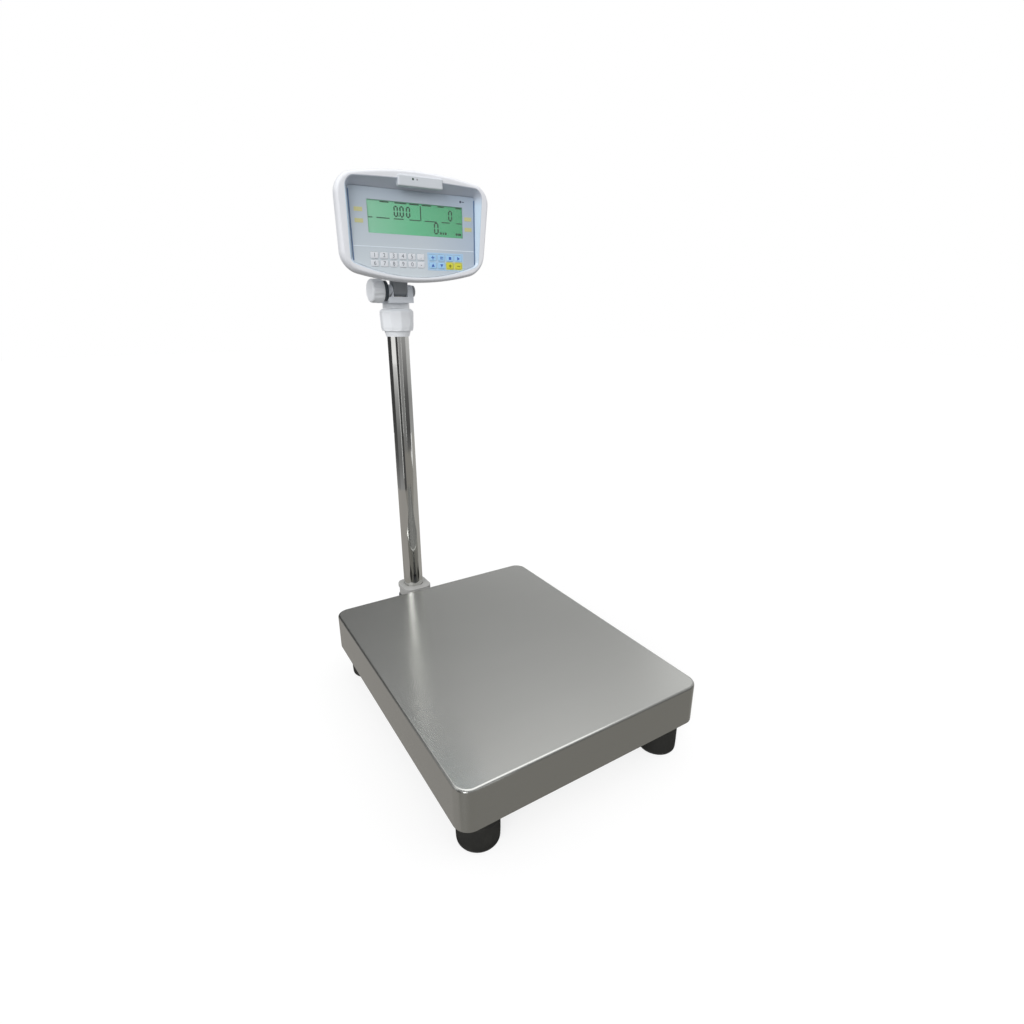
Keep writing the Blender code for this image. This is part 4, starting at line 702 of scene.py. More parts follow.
def plate(shape, outline, low, high, centre, axis="Z", edge=0.0, steps=3, slot=0):
    """An outline given a thickness along an axis, with its two rims rounded."""
    place = AXES[axis]
    rings = [[Vector(centre) + place(u, v, w) for u, v in outline] for w in (low, high)]
    verts = [[shape.verts.new(point) for point in ring] for ring in rings]
    count = len(outline)
    faces = [shape.faces.new((verts[0][i], verts[0][(i + 1) % count],
                              verts[1][(i + 1) % count], verts[1][i])) for i in range(count)]
    caps = [shape.faces.new(ring) for ring in verts]
    for face in faces + caps:
        face.material_index = slot
    if edge:
        rims = {line for cap in caps for line in cap.edges}
        bmesh.ops.bevel(shape, geom=list(rims), offset=edge, offset_type="OFFSET",
                        segments=steps, profile=0.5, affect="EDGES")


def thread(shape, radius, depth, pitch, low, high, centre, around=24, along=8):
    """A rod with a screw thread along Z, whose ends run out into plain discs."""
    count = max(2, int((high - low) / pitch * along))
    rings = []
    for k in range(count + 1):
        z = low + (high - low) * k / count
        fade = min(1.0, (z - low) / pitch, (high - z) / pitch)
        ring = []
        for i in range(around):
            share = (z / pitch - i / around) % 1.0
            height = radius - depth * fade * abs(2 * share - 1)
            if fade <= 0:
                height = radius - depth
            a = 2 * math.pi * i / around
            ring.append(Vector(centre) + Vector((height * math.cos(a), height * math.sin(a), z)))
        rings.append(ring)
    skin(shape, rings)


def mesh_of(name, *builds):
    """A mesh that the given functions draw, with its faces pointing out."""
    mesh = bpy.data.meshes.new(name)
    shape = bmesh.new()
    for build in builds:
        build(shape)
    bmesh.ops.recalc_face_normals(shape, faces=shape.faces)
    shape.to_mesh(mesh)
    shape.free()
    return mesh


def fused(name, solids, cutters=(), edge=0.0, edge_steps=3, edge_angle=35):
    """One mesh from several solids, less the cutters, with its sharp edges rounded."""
    scratch = []
    for i, build in enumerate((*solids, *cutters)):
        obj = bpy.data.objects.new(f"{name}_{i}", mesh_of(f"{name}_{i}", build))
        bpy.context.scene.collection.objects.link(obj)
        scratch.append(obj)
    body = scratch[0]
    for i, tool in enumerate(scratch[1:], 1):
        step = body.modifiers.new(tool.name, "BOOLEAN")
        step.operation = "UNION" if i < len(solids) else "DIFFERENCE"
        step.solver = "EXACT"
        step.object = tool
    if edge:
        bevel = body.modifiers.new("edges", "BEVEL")
        bevel.width = edge
        bevel.segments = edge_steps
        bevel.limit_method = "ANGLE"
        bevel.angle_limit = math.radians(edge_angle)
        bevel.use_clamp_overlap = True
    view = bpy.context.evaluated_depsgraph_get()
    mesh = bpy.data.meshes.new_from_object(body.evaluated_get(view))
    mesh.name = name
    for obj in scratch:
        bpy.data.objects.remove(obj, do_unlink=True)
    return mesh


def revolved(name, profile, centre, axis="Z", steps=64, closed=False):
    """A mesh turned from its profile of radius and height."""
    return mesh_of(name, lambda shape: turn(shape, profile, centre, axis, steps, closed))


def rod(radius, start, end, centre, axis="Z", steps=64):
    """A function that draws a plain rod between two places along an axis."""
    profile = [(0, start), (radius, start), (radius, end), (0, end)]
    return lambda shape: turn(shape, profile, centre, axis, steps)


def prism(outline, low, high, centre=(0, 0, 0), axis="Z", edge=0.0):
    """A function that draws an outline with a thickness along an axis."""
    return lambda shape: plate(shape, outline, low, high, centre, axis, edge)


def block(low, high, edge=0.0, steps=3):
    """A function that draws a block between two corners."""
    return lambda shape: slab(shape, low, high, edge, steps)


def piece(name, mesh, finishes, body, replaces=(), sharp=32):
    """A finished piece that rides on a body, smooth apart from its sharp edges."""
    obj = bpy.data.objects.new(name, mesh)
    bpy.context.scene.collection.objects.link(obj)
    for finish in ([finishes] if isinstance(finishes, str) else finishes):
        mesh.materials.append(MATERIALS[finish])
    mesh.shade_smooth()
    mesh.set_sharp_from_angle(angle=math.radians(sharp))
    normals = obj.modifiers.new("normals", "WEIGHTED_NORMAL")
    normals.keep_sharp = True
    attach(obj, body)
    if replaces:
        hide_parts(*replaces)
    return obj


def dress(material, *nodes):
    """Give CAD nodes a finish of the scene's own."""
    for node in nodes:
        mesh = frame["nodes"][node].data
        mesh.materials.clear()
        mesh.materials.append(MATERIALS[material])


# Outlines

def rounded_rectangle(width, depth, corner, steps=8):
    points = []
    for quarter, (su, sv) in enumerate(((1, 1), (-1, 1), (-1, -1), (1, -1))):
        middle_u = su * (width / 2 - corner)
        middle_v = sv * (depth / 2 - corner)
        for i in range(steps + 1):
            a = math.radians(90) * (quarter + i / steps)
            points.append((middle_u + corner * math.cos(a), middle_v + corner * math.sin(a)))
    return points


def arc(middle_u, middle_v, radius, first, last, steps):
    turns = [math.radians(first + (last - first) * i / steps) for i in range(steps + 1)]
    return [(middle_u + radius * math.cos(a), middle_v + radius * math.sin(a)) for a in turns]


def hexagon(radius):
    return arc(0, 0, radius, 0, 300, 5)


def crowned(half_bottom, half_top, bottom, top, low_bulge, high_bulge, low_corner, high_corner,
            across=14, round_steps=10):
    """The indicator's outline in X and Z. Its lower and upper edges are arcs that bulge by the
    given amounts, and its sides lean out towards the top."""
    low_edge = half_bottom - low_corner
    high_edge = half_top - high_corner
    low_end = bottom + low_bulge * (low_edge / half_bottom) ** 2
    high_end = top - high_bulge * (high_edge / half_top) ** 2
    low_slope = 2 * low_bulge * low_edge / half_bottom ** 2
    high_slope = -2 * high_bulge * high_edge / half_top ** 2
    side = (half_top - half_bottom) / (top - bottom)

    def kink(x, z, slope):
        reach = (half_bottom - x + side * (z - bottom)) / (1 - side * slope)
        return (x + reach, z + slope * reach)

    def on_side(z):
        return (half_bottom + (z - bottom) * side, z)

    right = [(low_edge * i / across, bottom + low_bulge * (low_edge * i / across / half_bottom) ** 2)
             for i in range(across)]
    low_kink = kink(low_edge, low_end, low_slope)
    right += corner((low_edge, low_end), low_kink, on_side(low_kink[1] + low_corner), round_steps)
    high_kink = kink(high_edge, high_end, high_slope)
    right += corner(on_side(high_kink[1] - high_corner), high_kink, (high_edge, high_end),
                    round_steps)
    right += [(high_edge * i / across, top - high_bulge * (high_edge * i / across / half_top) ** 2)
              for i in range(across - 1, -1, -1)]
    return right + [(-x, z) for x, z in reversed(right[1:-1])]


def corner(start, kink, end, steps):
    """A smooth corner from start to end, whose tangents meet at the kink."""
    pull = 0.5523
    first = [a + pull * (b - a) for a, b in zip(start, kink)]
    second = [a + pull * (b - a) for a, b in zip(end, kink)]
    points = []
    for i in range(steps + 1):
        t = i / steps
        weights = ((1 - t) ** 3, 3 * t * (1 - t) ** 2, 3 * t * t * (1 - t), t ** 3)
        points.append(tuple(sum(w * p[k] for w, p in zip(weights, (start, first, second, end)))
                            for k in (0, 1)))
    return points


def rim_plane(z):
    return PANEL_Y + RIM_OFFSET - RIM_LEAN * (z - HOUSING_BOTTOM)


def parting_plane(z):
    return PANEL_Y + PARTING_OFFSET - PARTING_LEAN * (z - HOUSING_BOTTOM)


def housing_outline(inset):
    return crowned(HALF_BOTTOM - inset, HALF_TOP - inset, HOUSING_BOTTOM + inset,
                   HOUSING_TOP - inset, BOTTOM_BULGE, TOP_BULGE, BOTTOM_CORNER - inset / 2,
                   TOP_CORNER - inset / 2)


def panel_outline(grow):
    return crowned(PANEL_HALF_BOTTOM + grow, PANEL_HALF_TOP + grow, PANEL_LOW.z - grow,
                   PANEL_HIGH.z + grow, PANEL_BOTTOM_BULGE, PANEL_TOP_BULGE, PANEL_CORNER + grow,
                   PANEL_CORNER + grow)


def mouth_outline(grow):
    return crowned(PANEL_HALF_BOTTOM + RECESS_SIDE * 0.5 + grow,
                   PANEL_HALF_TOP + RECESS_SIDE + grow, PANEL_LOW.z - GAP - grow,
                   HOUSING_TOP - MOUTH_DROP + grow, PANEL_BOTTOM_BULGE, MOUTH_BULGE,
                   PANEL_CORNER + grow, MOUTH_CORNER + grow)


def mixed(first, second, share):
    """Points at a share of the way between two outlines that match point for point."""
    return [(a + share * (c - a), b + share * (d - b)) for (a, b), (c, d) in zip(first, second)]


def at_depth(outline, depth):
    """Points of an outline at the y that a function gives for their z."""
    return [Vector((x, depth(z), z)) for x, z in outline]


def between_planes(outline, share):
    return at_depth(outline, lambda z: parting_plane(z)
                    + share * (rim_plane(z) - parting_plane(z)))


# Platform

def make_pan():
    """The folded and welded tray, brushed across."""
    middle = (PAN_LOW + PAN_HIGH) / 2
    size = PAN_HIGH - PAN_LOW

    def ring(inset, z):
        outline = rounded_rectangle(size.x - 2 * inset, size.y - 2 * inset, PAN_CORNER - inset, 14)
        return [Vector((middle.x + u, middle.y + v, z)) for u, v in outline]

    inner_edge = PAN_EDGE - PAN_SHEET
    rings = [ring(PAN_EDGE, PAN_HIGH.z - PAN_SHEET)]
    rings += [ring(PAN_SHEET + inner_edge * (1 - math.sin(a)),
                   PAN_HIGH.z - PAN_EDGE + inner_edge * math.cos(a))
              for a in (math.radians(15 * k) for k in range(1, 7))]
    hem = PAN_SHEET / 2
    rings += [ring(hem + hem * math.cos(a), PAN_LOW.z + hem - hem * math.sin(a))
              for a in (math.radians(30 * k) for k in range(7))]
    rings += [ring(PAN_EDGE * (1 - math.cos(a)), PAN_HIGH.z - PAN_EDGE + PAN_EDGE * math.sin(a))
              for a in (math.radians(11.25 * k) for k in range(9))]
    piece("pan", mesh_of("pan", lambda shape: skin(shape, rings)), "pan_steel", "pan",
          ["weighing_pan"])


def make_feet():
    for place in CORNERS:
        low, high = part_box("foot_pad_" + place)
        middle = (low + high) / 2
        radius = (high.x - low.x) / 2
        stud_low, stud_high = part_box("foot_stud_" + place)
        sole = [(0, 0), (radius * 0.30, 0), (radius * 0.32, 0.0015), (radius * 0.42, 0.0015),
                (radius * 0.44, 0), (radius * 0.60, 0), (radius * 0.62, 0.0015),
                (radius * 0.70, 0.0015), (radius * 0.72, 0)]
        side = [(radius - 0.0005, 0, 0.005), (radius, 0.012, 0.004), (radius, high.z * 0.80),
                (radius - 0.0010, high.z * 0.81, 0.0005), (radius - 0.0010, high.z * 0.84, 0.0005),
                (radius, high.z * 0.85, 0.0005), (radius, high.z * 0.93, 0.002),
                (radius * 0.88, high.z, 0.002), (radius * 0.30, high.z, 0.001)]
        bore = [(STUD_BORE, high.z), (STUD_BORE, stud_low.z), (0, stud_low.z)]
        profile = fillet(sole + side + bore, 0.0006)
        centre = (middle.x, middle.y, 0)
        pad = revolved("pad", profile, centre, steps=72)
        piece("foot_pad_cover_" + place, pad, "rubber", "foot_" + place,
              ["foot_pad_" + place])
        flange = stud_low.z + STUD_FLANGE_RISE
        stud = mesh_of("stud",
                       lambda shape: thread(shape, STUD_RADIUS, THREAD_DEPTH, THREAD_PITCH,
                                            stud_low.z, stud_high.z, centre),
                       prism(hexagon(STUD_FLANGE_RADIUS), flange, flange + STUD_FLANGE, centre,
                             edge=0.0004))
        piece("foot_thread_" + place, stud, "zinc", "foot_" + place,
              ["foot_stud_" + place])


def dress_frame():
    dress("frame", "base_frame", "top_frame")
    dress("aluminium", "load_cell")
    dress("zinc", "load_cell_lower_spacer", "load_cell_upper_spacer", "load_cell_lower_bolts",
          "load_cell_upper_bolts", "hinge_bolt", "serial_port")
    dress("rubber", *("pan_pad_" + place for place in CORNERS))
    dress("vial", "bubble_level")
    dress("board", "circuit_board")
    dress("black", "battery", "cable_gland", "power_inlet")
    dress("display", "display_module")
    dress("panel", "overlay_panel")


# Pillar

def make_bracket():
    """The channel under the socket, rounded at its end, with the stub that the tube slips over."""
    low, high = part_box("pillar_bracket")
    half = (high.x - low.x) / 2
    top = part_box("pillar_socket")[0].z - GAP
    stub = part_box("pillar_tube")[1].x - TUBE_WALL - GAP

    def outline(inset, front):
        end = arc(0, high.y - half, half - inset, 0, 180, 32)
        return [(inset - half, front), (half - inset, front)] + end

    bracket = fused("bracket", [
        prism(outline(0, low.y), low.z, top),
        rod(stub, top - 0.0015, high.z, PILLAR_FOOT),
    ], [
        prism(outline(BRACKET_WALL, low.y - 0.01), low.z - 0.01, top - BRACKET_WALL),
        rod(STUB_BORE, low.z, high.z + 0.01, PILLAR_FOOT),
    ], edge=0.0006)
    piece("bracket", bracket, "frame", "base", ["pillar_bracket"])


def make_socket():
    """The block round the pillar's foot, with an overhanging cap and two clamp screws."""
    low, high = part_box("pillar_socket")
    middle = (low + high) / 2
    size = high - low

    def ring(inset, z):
        outline = rounded_rectangle(size.x - 2 * inset, size.y - 2 * inset, SOCKET_CORNER - inset,
                                    10)
        return [Vector((middle.x + u, middle.y + v, z)) for u, v in outline]

    def hole(radius, z):
        axis = Vector((PILLAR.x, PILLAR.y, z))
        return [axis + (point - axis).normalized() * radius for point in ring(0, z)]

    cap = high.z - SOCKET_CAP
    profile = fillet([(SOCKET_LIP, low.z), (SOCKET_LIP, cap, 0.0006), (0.0, cap, 0.0010),
                      (0.0, high.z, 0.0022), (SOCKET_CORNER * 0.5, high.z)], 0.0008)
    rings = [hole(TUBE_BORE, low.z)] + [ring(inset, z) for inset, z in profile]
    rings += [hole(TUBE_BORE + 0.0026, high.z), hole(TUBE_BORE + 0.0008, high.z - 0.0004),
              hole(TUBE_BORE, high.z - 0.0012)]
    body = mesh_of("socket", lambda shape: skin(shape, rings, closed=True))
    piece("socket_block", body, "socket", "base", ["pillar_socket"])
    screw = fillet([(0, -0.002), (0.0032, -0.002), (0.0032, 0.0009), (0.0018, 0.0011),
                    (0.0016, 0.0001), (0, 0.0001)], 0.0003)
    for k, side in enumerate((-1, 1), 1):
        centre = (side * SOCKET_SCREW_X, high.y - SOCKET_LIP, (low.z + cap) / 2)
        piece(f"socket_screw_{k}", revolved("screw", screw, centre, "Y", 32), "zinc", "base")


def make_tube():
    low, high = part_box("pillar_tube")
    radius = (high.x - low.x) / 2
    inner = radius - TUBE_WALL
    profile = fillet([(inner, low.z), (radius, low.z), (radius, high.z), (inner, high.z)], 0.0004,
                     2, closed=True)
    tube = revolved("tube", profile, PILLAR_FOOT, steps=128, closed=True)
    piece("pillar", tube, "chrome", "base", ["pillar_tube"])


def make_collar():
    """The moulded collar: round at its neck and foot, and softly faceted between them."""
    low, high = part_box("pillar_collar")
    height = high.z - low.z
    pivot = 0.0103
    roof = 0.0323
    facet_foot = 0.0102
    steps = COLLAR_FACETS * 12
    half = math.pi / COLLAR_FACETS

    def ring(radius, z, facet):
        points = []
        for i in range(steps):
            a = 2 * math.pi * i / steps + math.radians(COLLAR_TURN)
            off = (2 * math.pi * i / steps) % (2 * half) - half
            flat = min(math.cos(half) / math.cos(off), 0.993)
            reach = radius * (1 - facet + facet * flat)
            points.append(Vector((PILLAR.x + reach * math.cos(a), PILLAR.y + reach * math.sin(a),
                                  low.z + z)))
        return points

    outer = fillet([(0.0214, 0.0), (0.0240, 0.0085, 0.0015), (0.0238, 0.0098, 0.0004),
                    (0.0285, facet_foot, 0.0012), (0.0303, 0.0160, 0.0040),
                    (0.0315, height - 0.0040, 0.0030), (0.0262, height, 0.0015),
                    (pivot, height)], 0.001)
    rings = []
    for radius, z in outer[:-1]:
        near = min(1.0, max(0.0, (z - facet_foot) / 0.0015))
        rings.append(ring(radius, z, near * min(1.0, (height - z) / 0.0015)))
    rings += [ring(pivot, height, 0), ring(pivot, roof, 0), ring(TUBE_BORE, roof, 0),
              ring(TUBE_BORE, 0.0006, 0), ring(TUBE_BORE + 0.0006, 0, 0)]
    collar = mesh_of("collar", lambda shape: skin(shape, rings, closed=True))
    piece("collar", collar, "pale_grey", "base", ["pillar_collar"], sharp=50)


# Head

def make_yoke():
    """The fork that turns on the collar, with the nut's boss on its right cheek."""
    low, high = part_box("swivel_yoke")
    ring_low = PILLAR.z + GAP
    bar_low = PILLAR.z + 0.0100
    bar_high = HINGE.z - 0.0100
    left = YOKE_X - YOKE_HALF_WIDTH
    right = YOKE_X + YOKE_HALF_WIDTH
    ring_radius = high.x
    eye = 0.011
    front = eye + 0.002
    foot = bar_low - HINGE.z + 0.001
    side = arc(0, 0, eye, 180, 0, 24) + [(eye + 0.012, foot), (-front, foot)]
    bore = 0.006
    pivot = 0.010
    turned = fillet([(bore, low.z), (pivot, low.z), (pivot, ring_low), (ring_radius, ring_low),
                     (ring_radius, bar_low), (bore, bar_low)], 0.0007, 3, closed=True)
    swivel = revolved("swivel", turned, PILLAR_FOOT, closed=True)
    piece("swivel_ring", swivel, "pale_grey", "head")
    on_hinge = (0, HINGE.y, HINGE.z)
    yoke = fused("yoke", [
        block((left, HINGE.y - front, bar_low), (right, high.y, bar_high)),
        prism(side, left, left + YOKE_CHEEK, on_hinge, "X"),
        prism(side, right - YOKE_CHEEK, right, on_hinge, "X"),
    ], [
        rod(BOLT_HOLE, -0.06, 0.06, HINGE, "X"),
        rod(bore, 0.5, 0.8, PILLAR_FOOT),
    ], edge=0.0008)
    piece("yoke", yoke, "grey", "head", ["swivel_yoke"])
    nut_low, nut_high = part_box("hinge_nut")
    width = nut_high.x - nut_low.x
    boss = fillet([(BOLT_HOLE, 0), (0.0100, 0), (0.0098, width, 0.0018), (0.0068, width, 0.0006),
                   (0.0062, width - 0.0008, 0.0004), (BOLT_HOLE, width - 0.0008)], 0.0006)
    nut = revolved("nut", boss, (nut_low.x, HINGE.y, HINGE.z), "X", closed=True)
    piece("hinge_boss", nut, "boss", "head", ["hinge_nut"])


def make_knob():
    """The clamp knob, with eight soft flutes that fade towards its domed end."""
    low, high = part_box("clamp_knob")
    length = high.x - low.x
    radius = (high.z - low.z) / 2
    lobes = 8
    flute = 0.0013
    steps = lobes * 20
    profile = fillet([(0, 0.0004), (radius * 0.70, 0.0, 0.003), (radius * 0.88, 0.0004, 0.0015),
                      (radius * 0.985, 0.0030, 0.0020), (radius, length * 0.30, 0.006),
                      (radius, length - 0.0030, 0.002), (radius * 0.93, length, 0.0015),
                      (BOLT_HOLE, length)], 0.001, 6)

    def ring(r, x, dip):
        points = []
        for i in range(steps):
            a = 2 * math.pi * i / steps
            reach = r - dip * max(0.0, -math.cos(lobes * a)) ** 0.8
            points.append(Vector((low.x + x, HINGE.y + reach * math.cos(a),
                                  HINGE.z + reach * math.sin(a))))
        return points

    rings = [[Vector((low.x + profile[0][1], HINGE.y, HINGE.z))]]
    for r, x in profile[1:]:
        share = min(1.0, max(0.0, (x - 0.0015) / 0.006)) * min(1.0, max(0.0, (length - x) / 0.002))
        rings.append(ring(r, x, flute * share if r > radius * 0.7 else 0.0))
    rings.append(ring(BOLT_HOLE, length - 0.0150, 0.0))
    knob = mesh_of("knob", lambda shape: skin(shape, rings))
    piece("knob", knob, "pale_grey", "clamp", ["clamp_knob"], sharp=50)
    low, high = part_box("knob_washer")
    width = high.x - low.x
    rim = fillet([(BOLT_HOLE, 0), (0.0175, 0), (0.0175, width), (BOLT_HOLE, width)], 0.0008, 3,
                 closed=True)
    washer = revolved("washer", rim, (low.x, HINGE.y, HINGE.z), "X", 72, closed=True)
    piece("washer", washer, "washer", "clamp", ["knob_washer"])


# Indicator

def make_bezel():
    """The front moulding: a rounded rim round a recess that the panel lies in."""
    outer = housing_outline
    rings = [between_planes(outer(HOUSING_WALL), 0.0), between_planes(outer(0.0), 0.0),
             between_planes(outer(0.0), 0.30)]
    for k in range(1, 9):
        a = math.radians(90 * k / 8)
        rings.append(between_planes(outer(RIM_ROUND * (1 - math.cos(a))),
                                    0.30 + 0.70 * math.sin(a)))
    lip = 0.0016
    rings.append(at_depth(mouth_outline(lip), rim_plane))
    recess_start = len(rings) - 1
    rings.append(at_depth(mouth_outline(lip * 0.3), lambda z: rim_plane(z) + lip * 0.2))
    rings.append(at_depth(mouth_outline(0), lambda z: rim_plane(z) + lip * 0.8))
    flat = panel_outline(GAP)
    mouth = mouth_outline(0)
    for share in (0.3, 0.6, 0.85, 1.0):
        line = mixed(mouth, flat, share)
        rings.append(at_depth(line, lambda z, s=share: rim_plane(z) + lip * 0.8
                              + s * (PANEL_Y - rim_plane(z) - lip * 0.8)))
    recess_end = len(rings)
    floor = PANEL_Y + 0.0023
    rings.append(at_depth(flat, lambda z: floor))
    rings.append(at_depth(panel_outline(-0.004), lambda z: floor))
    rings.append(at_depth(panel_outline(-0.004), lambda z: floor + 0.0025))
    rings.append(at_depth(panel_outline(0.0025), lambda z: floor + 0.0025))
    rings.append(at_depth(mixed(panel_outline(0.0025), outer(HOUSING_WALL), 0.5),
                          lambda z: parting_plane(z) - 0.3 * (parting_plane(z) - rim_plane(z))))

    def build(shape):
        bands = skin(shape, rings, closed=True)
        # The recess faces take the finish with painted shade under the hood and a painted highlight at
        # the sides.
        for face in (face for band in bands[recess_start:recess_end] for face in band):
            face.material_index = 1
    piece("bezel", mesh_of("bezel", build), ["white", "recess"], "indicator",
          ["front_bezel"], sharp=40)


def make_tab():
    """The tab in the middle of the hood, with a dark and a pale lens in its face."""
    top = HOUSING_TOP - TAB_DROP
    front = rim_plane(top) - TAB_PROUD
    low = (TAB_X - TAB_HALF_WIDTH, front, top - TAB_HEIGHT)
    high = (TAB_X + TAB_HALF_WIDTH, front + TAB_DEPTH, top)
    tab = mesh_of("tab", block(low, high, 0.0022, 4))
    piece("hood_tab", tab, "tab", "indicator")
    for name, x, radius, finish in (("dark", -0.0135, 0.0019, "segment"),
                                    ("pale", -0.0065, 0.0016, "boss")):
        dome = fillet([(0, -0.0004), (radius * 0.8, -0.0003), (radius, 0.0004), (0, 0.0004)],
                      0.0002)
        centre = (TAB_X + x, front, top - TAB_HEIGHT * 0.33)
        lens = revolved("lens", dome, centre, "Y", 24)
        piece(f"tab_lens_{name}", lens, finish, "indicator")


def shell_section(share, inset=0.0):
    reach = max(share, 0.0)
    narrow = reach ** 1.3
    bulge = 1 - reach
    outline = crowned(HALF_BOTTOM + narrow * (BACK_HALF - HALF_BOTTOM) - inset,
                      HALF_TOP + narrow * (BACK_HALF + 0.004 - HALF_TOP) - inset,
                      HOUSING_BOTTOM + reach * BACK_BOTTOM_RISE + inset,
                      HOUSING_TOP - reach ** 1.6 * BACK_TOP_DROP - inset,
                      BOTTOM_BULGE * bulge, TOP_BULGE * bulge, BOTTOM_CORNER - inset / 2,
                      TOP_CORNER - inset / 2)
    return at_depth(outline, lambda z: parting_plane(z) + GAP
                    + share * (SHELL_BACK_Y - parting_plane(z) - GAP))


def make_shell():
    """The back moulding, which narrows to the rear and carries the hinge lug."""
    rings = [shell_section(0.80, HOUSING_WALL), shell_section(0.4, HOUSING_WALL),
             shell_section(0.02, HOUSING_WALL)]
    rings += [shell_section(0.0, 0.0009), shell_section(0.006, 0.0003), shell_section(0.012)]
    rings += [shell_section(share) for share in
              (0.06, 0.12, 0.2, 0.3, 0.42, 0.55, 0.68, 0.8, 0.89, 0.935)]
    for k in range(1, 7):
        a = math.radians(15 * k)
        rings.append(shell_section(0.935 + 0.065 * math.sin(a), 0.006 * (1 - math.cos(a))))
    holes = []
    for node in ("cable_gland", "power_inlet"):
        low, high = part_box(node)
        middle = (low + high) / 2
        holes.append(rod(CONNECTOR_HOLE, SHELL_BACK_Y - 0.011, SHELL_BACK_Y + 0.01,
                         (middle.x, 0, middle.z), "Y", 32))
    body = fused("shell", [lambda shape: skin(shape, rings)], holes)
    piece("shell", body, "white", "indicator", ["rear_shell"], sharp=40)
    eye = 0.0095
    reach = HOUSING_BOTTOM + BACK_BOTTOM_RISE - HINGE.z
    side = arc(0, 0, eye, 200, 340, 24) + [(0.0075, reach), (-eye - 0.012, reach - 0.001)]
    lug = fused("lug", [prism(side, YOKE_X - LUG_HALF_WIDTH, YOKE_X + LUG_HALF_WIDTH, HINGE, "X")],
                [rod(BOLT_HOLE, -0.06, 0.06, HINGE, "X")], edge=0.0006)
    # The lug's darker grey finish is painted shade.
    piece("hinge_lug", lug, "lug", "indicator")


def make_shell_screws():
    """The screws that close the housing, each with a cross in its head and a raised ring."""
    ring = fillet([(0.0038, -0.001), (0.0058, -0.001), (0.0054, 0.0008), (0.0040, 0.0008)],
                  0.0003, 2, closed=True)
    dome = fillet([(0, -0.001), (0.0036, -0.001), (0.0036, 0.0003, 0.0004),
                   (0.0020, 0.0009, 0.0008), (0, SCREW_PROUD)], 0.0003)
    slots = [Vector(half) for half in ((CROSS_REACH, CROSS_DEPTH, CROSS_WIDTH / 2),
                                       (CROSS_WIDTH / 2, CROSS_DEPTH, CROSS_REACH))]
    places = [(x, z) for z in (SCREW_LOW, SCREW_HIGH) for x in (-SCREW_X, SCREW_X)]
    for k, (x, z) in enumerate(places, 1):
        centre = Vector((x, SHELL_BACK_Y, z))
        raised = revolved("ring", ring, centre, "Y", 40, closed=True)
        piece(f"screw_ring_{k}", raised, "white", "indicator")
        face = centre + Vector((0, SCREW_PROUD, 0))
        head = fused("screw", [lambda shape: turn(shape, dome, centre, "Y", 32)],
                     [block(face - half, face + half) for half in slots])
        piece(f"shell_screw_{k}", head, "zinc", "indicator")


def make_gland():
    """The cable gland: a hexagon against the housing, and a fluted dome nut."""
    low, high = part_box("cable_gland")
    centre = Vector(((low.x + high.x) / 2, SHELL_BACK_Y, (low.z + high.z) / 2))
    radius = (high.x - low.x) / 2
    reach = high.y - SHELL_BACK_Y
    body = fillet([(0.0018, low.y - SHELL_BACK_Y), (0.0075, low.y - SHELL_BACK_Y), (0.0075, 0.0048),
                   (radius * 0.92, 0.0056, 0.0004), (radius * 0.92, reach * 0.70, 0.0012),
                   (radius * 0.62, reach, 0.0012), (0.0034, reach, 0.0004),
                   (0.0018, reach - 0.0015)], 0.0004, 3, closed=True)
    flutes = []
    for k in range(GLAND_FLUTES):
        a = math.radians((k + 0.5) * 360 / GLAND_FLUTES)
        place = centre + Vector((math.cos(a), 0, math.sin(a))) * radius * 1.02
        flutes.append(rod(0.0012, 0.0066, reach + 0.001, place, "Y", 12))
    gland = fused("gland", [lambda shape: turn(shape, body, centre, "Y", 60, closed=True),
                            prism(hexagon(radius), GAP, 0.005, centre, "Y")], flutes)
    piece("gland", gland, "black", "indicator", ["cable_gland"])


def film(shape, points, y, slot=0):
    """A flat printed shape, given by x and z, that stands off a surface facing the operator."""
    plate(shape, [(z, x) for x, z in points], y - FILM, y, (0, 0, 0), "Y", slot=slot)


def bar(x, z, width, height):
    return [(x - width / 2, z - height / 2), (x + width / 2, z - height / 2),
            (x + width / 2, z + height / 2), (x - width / 2, z + height / 2)]


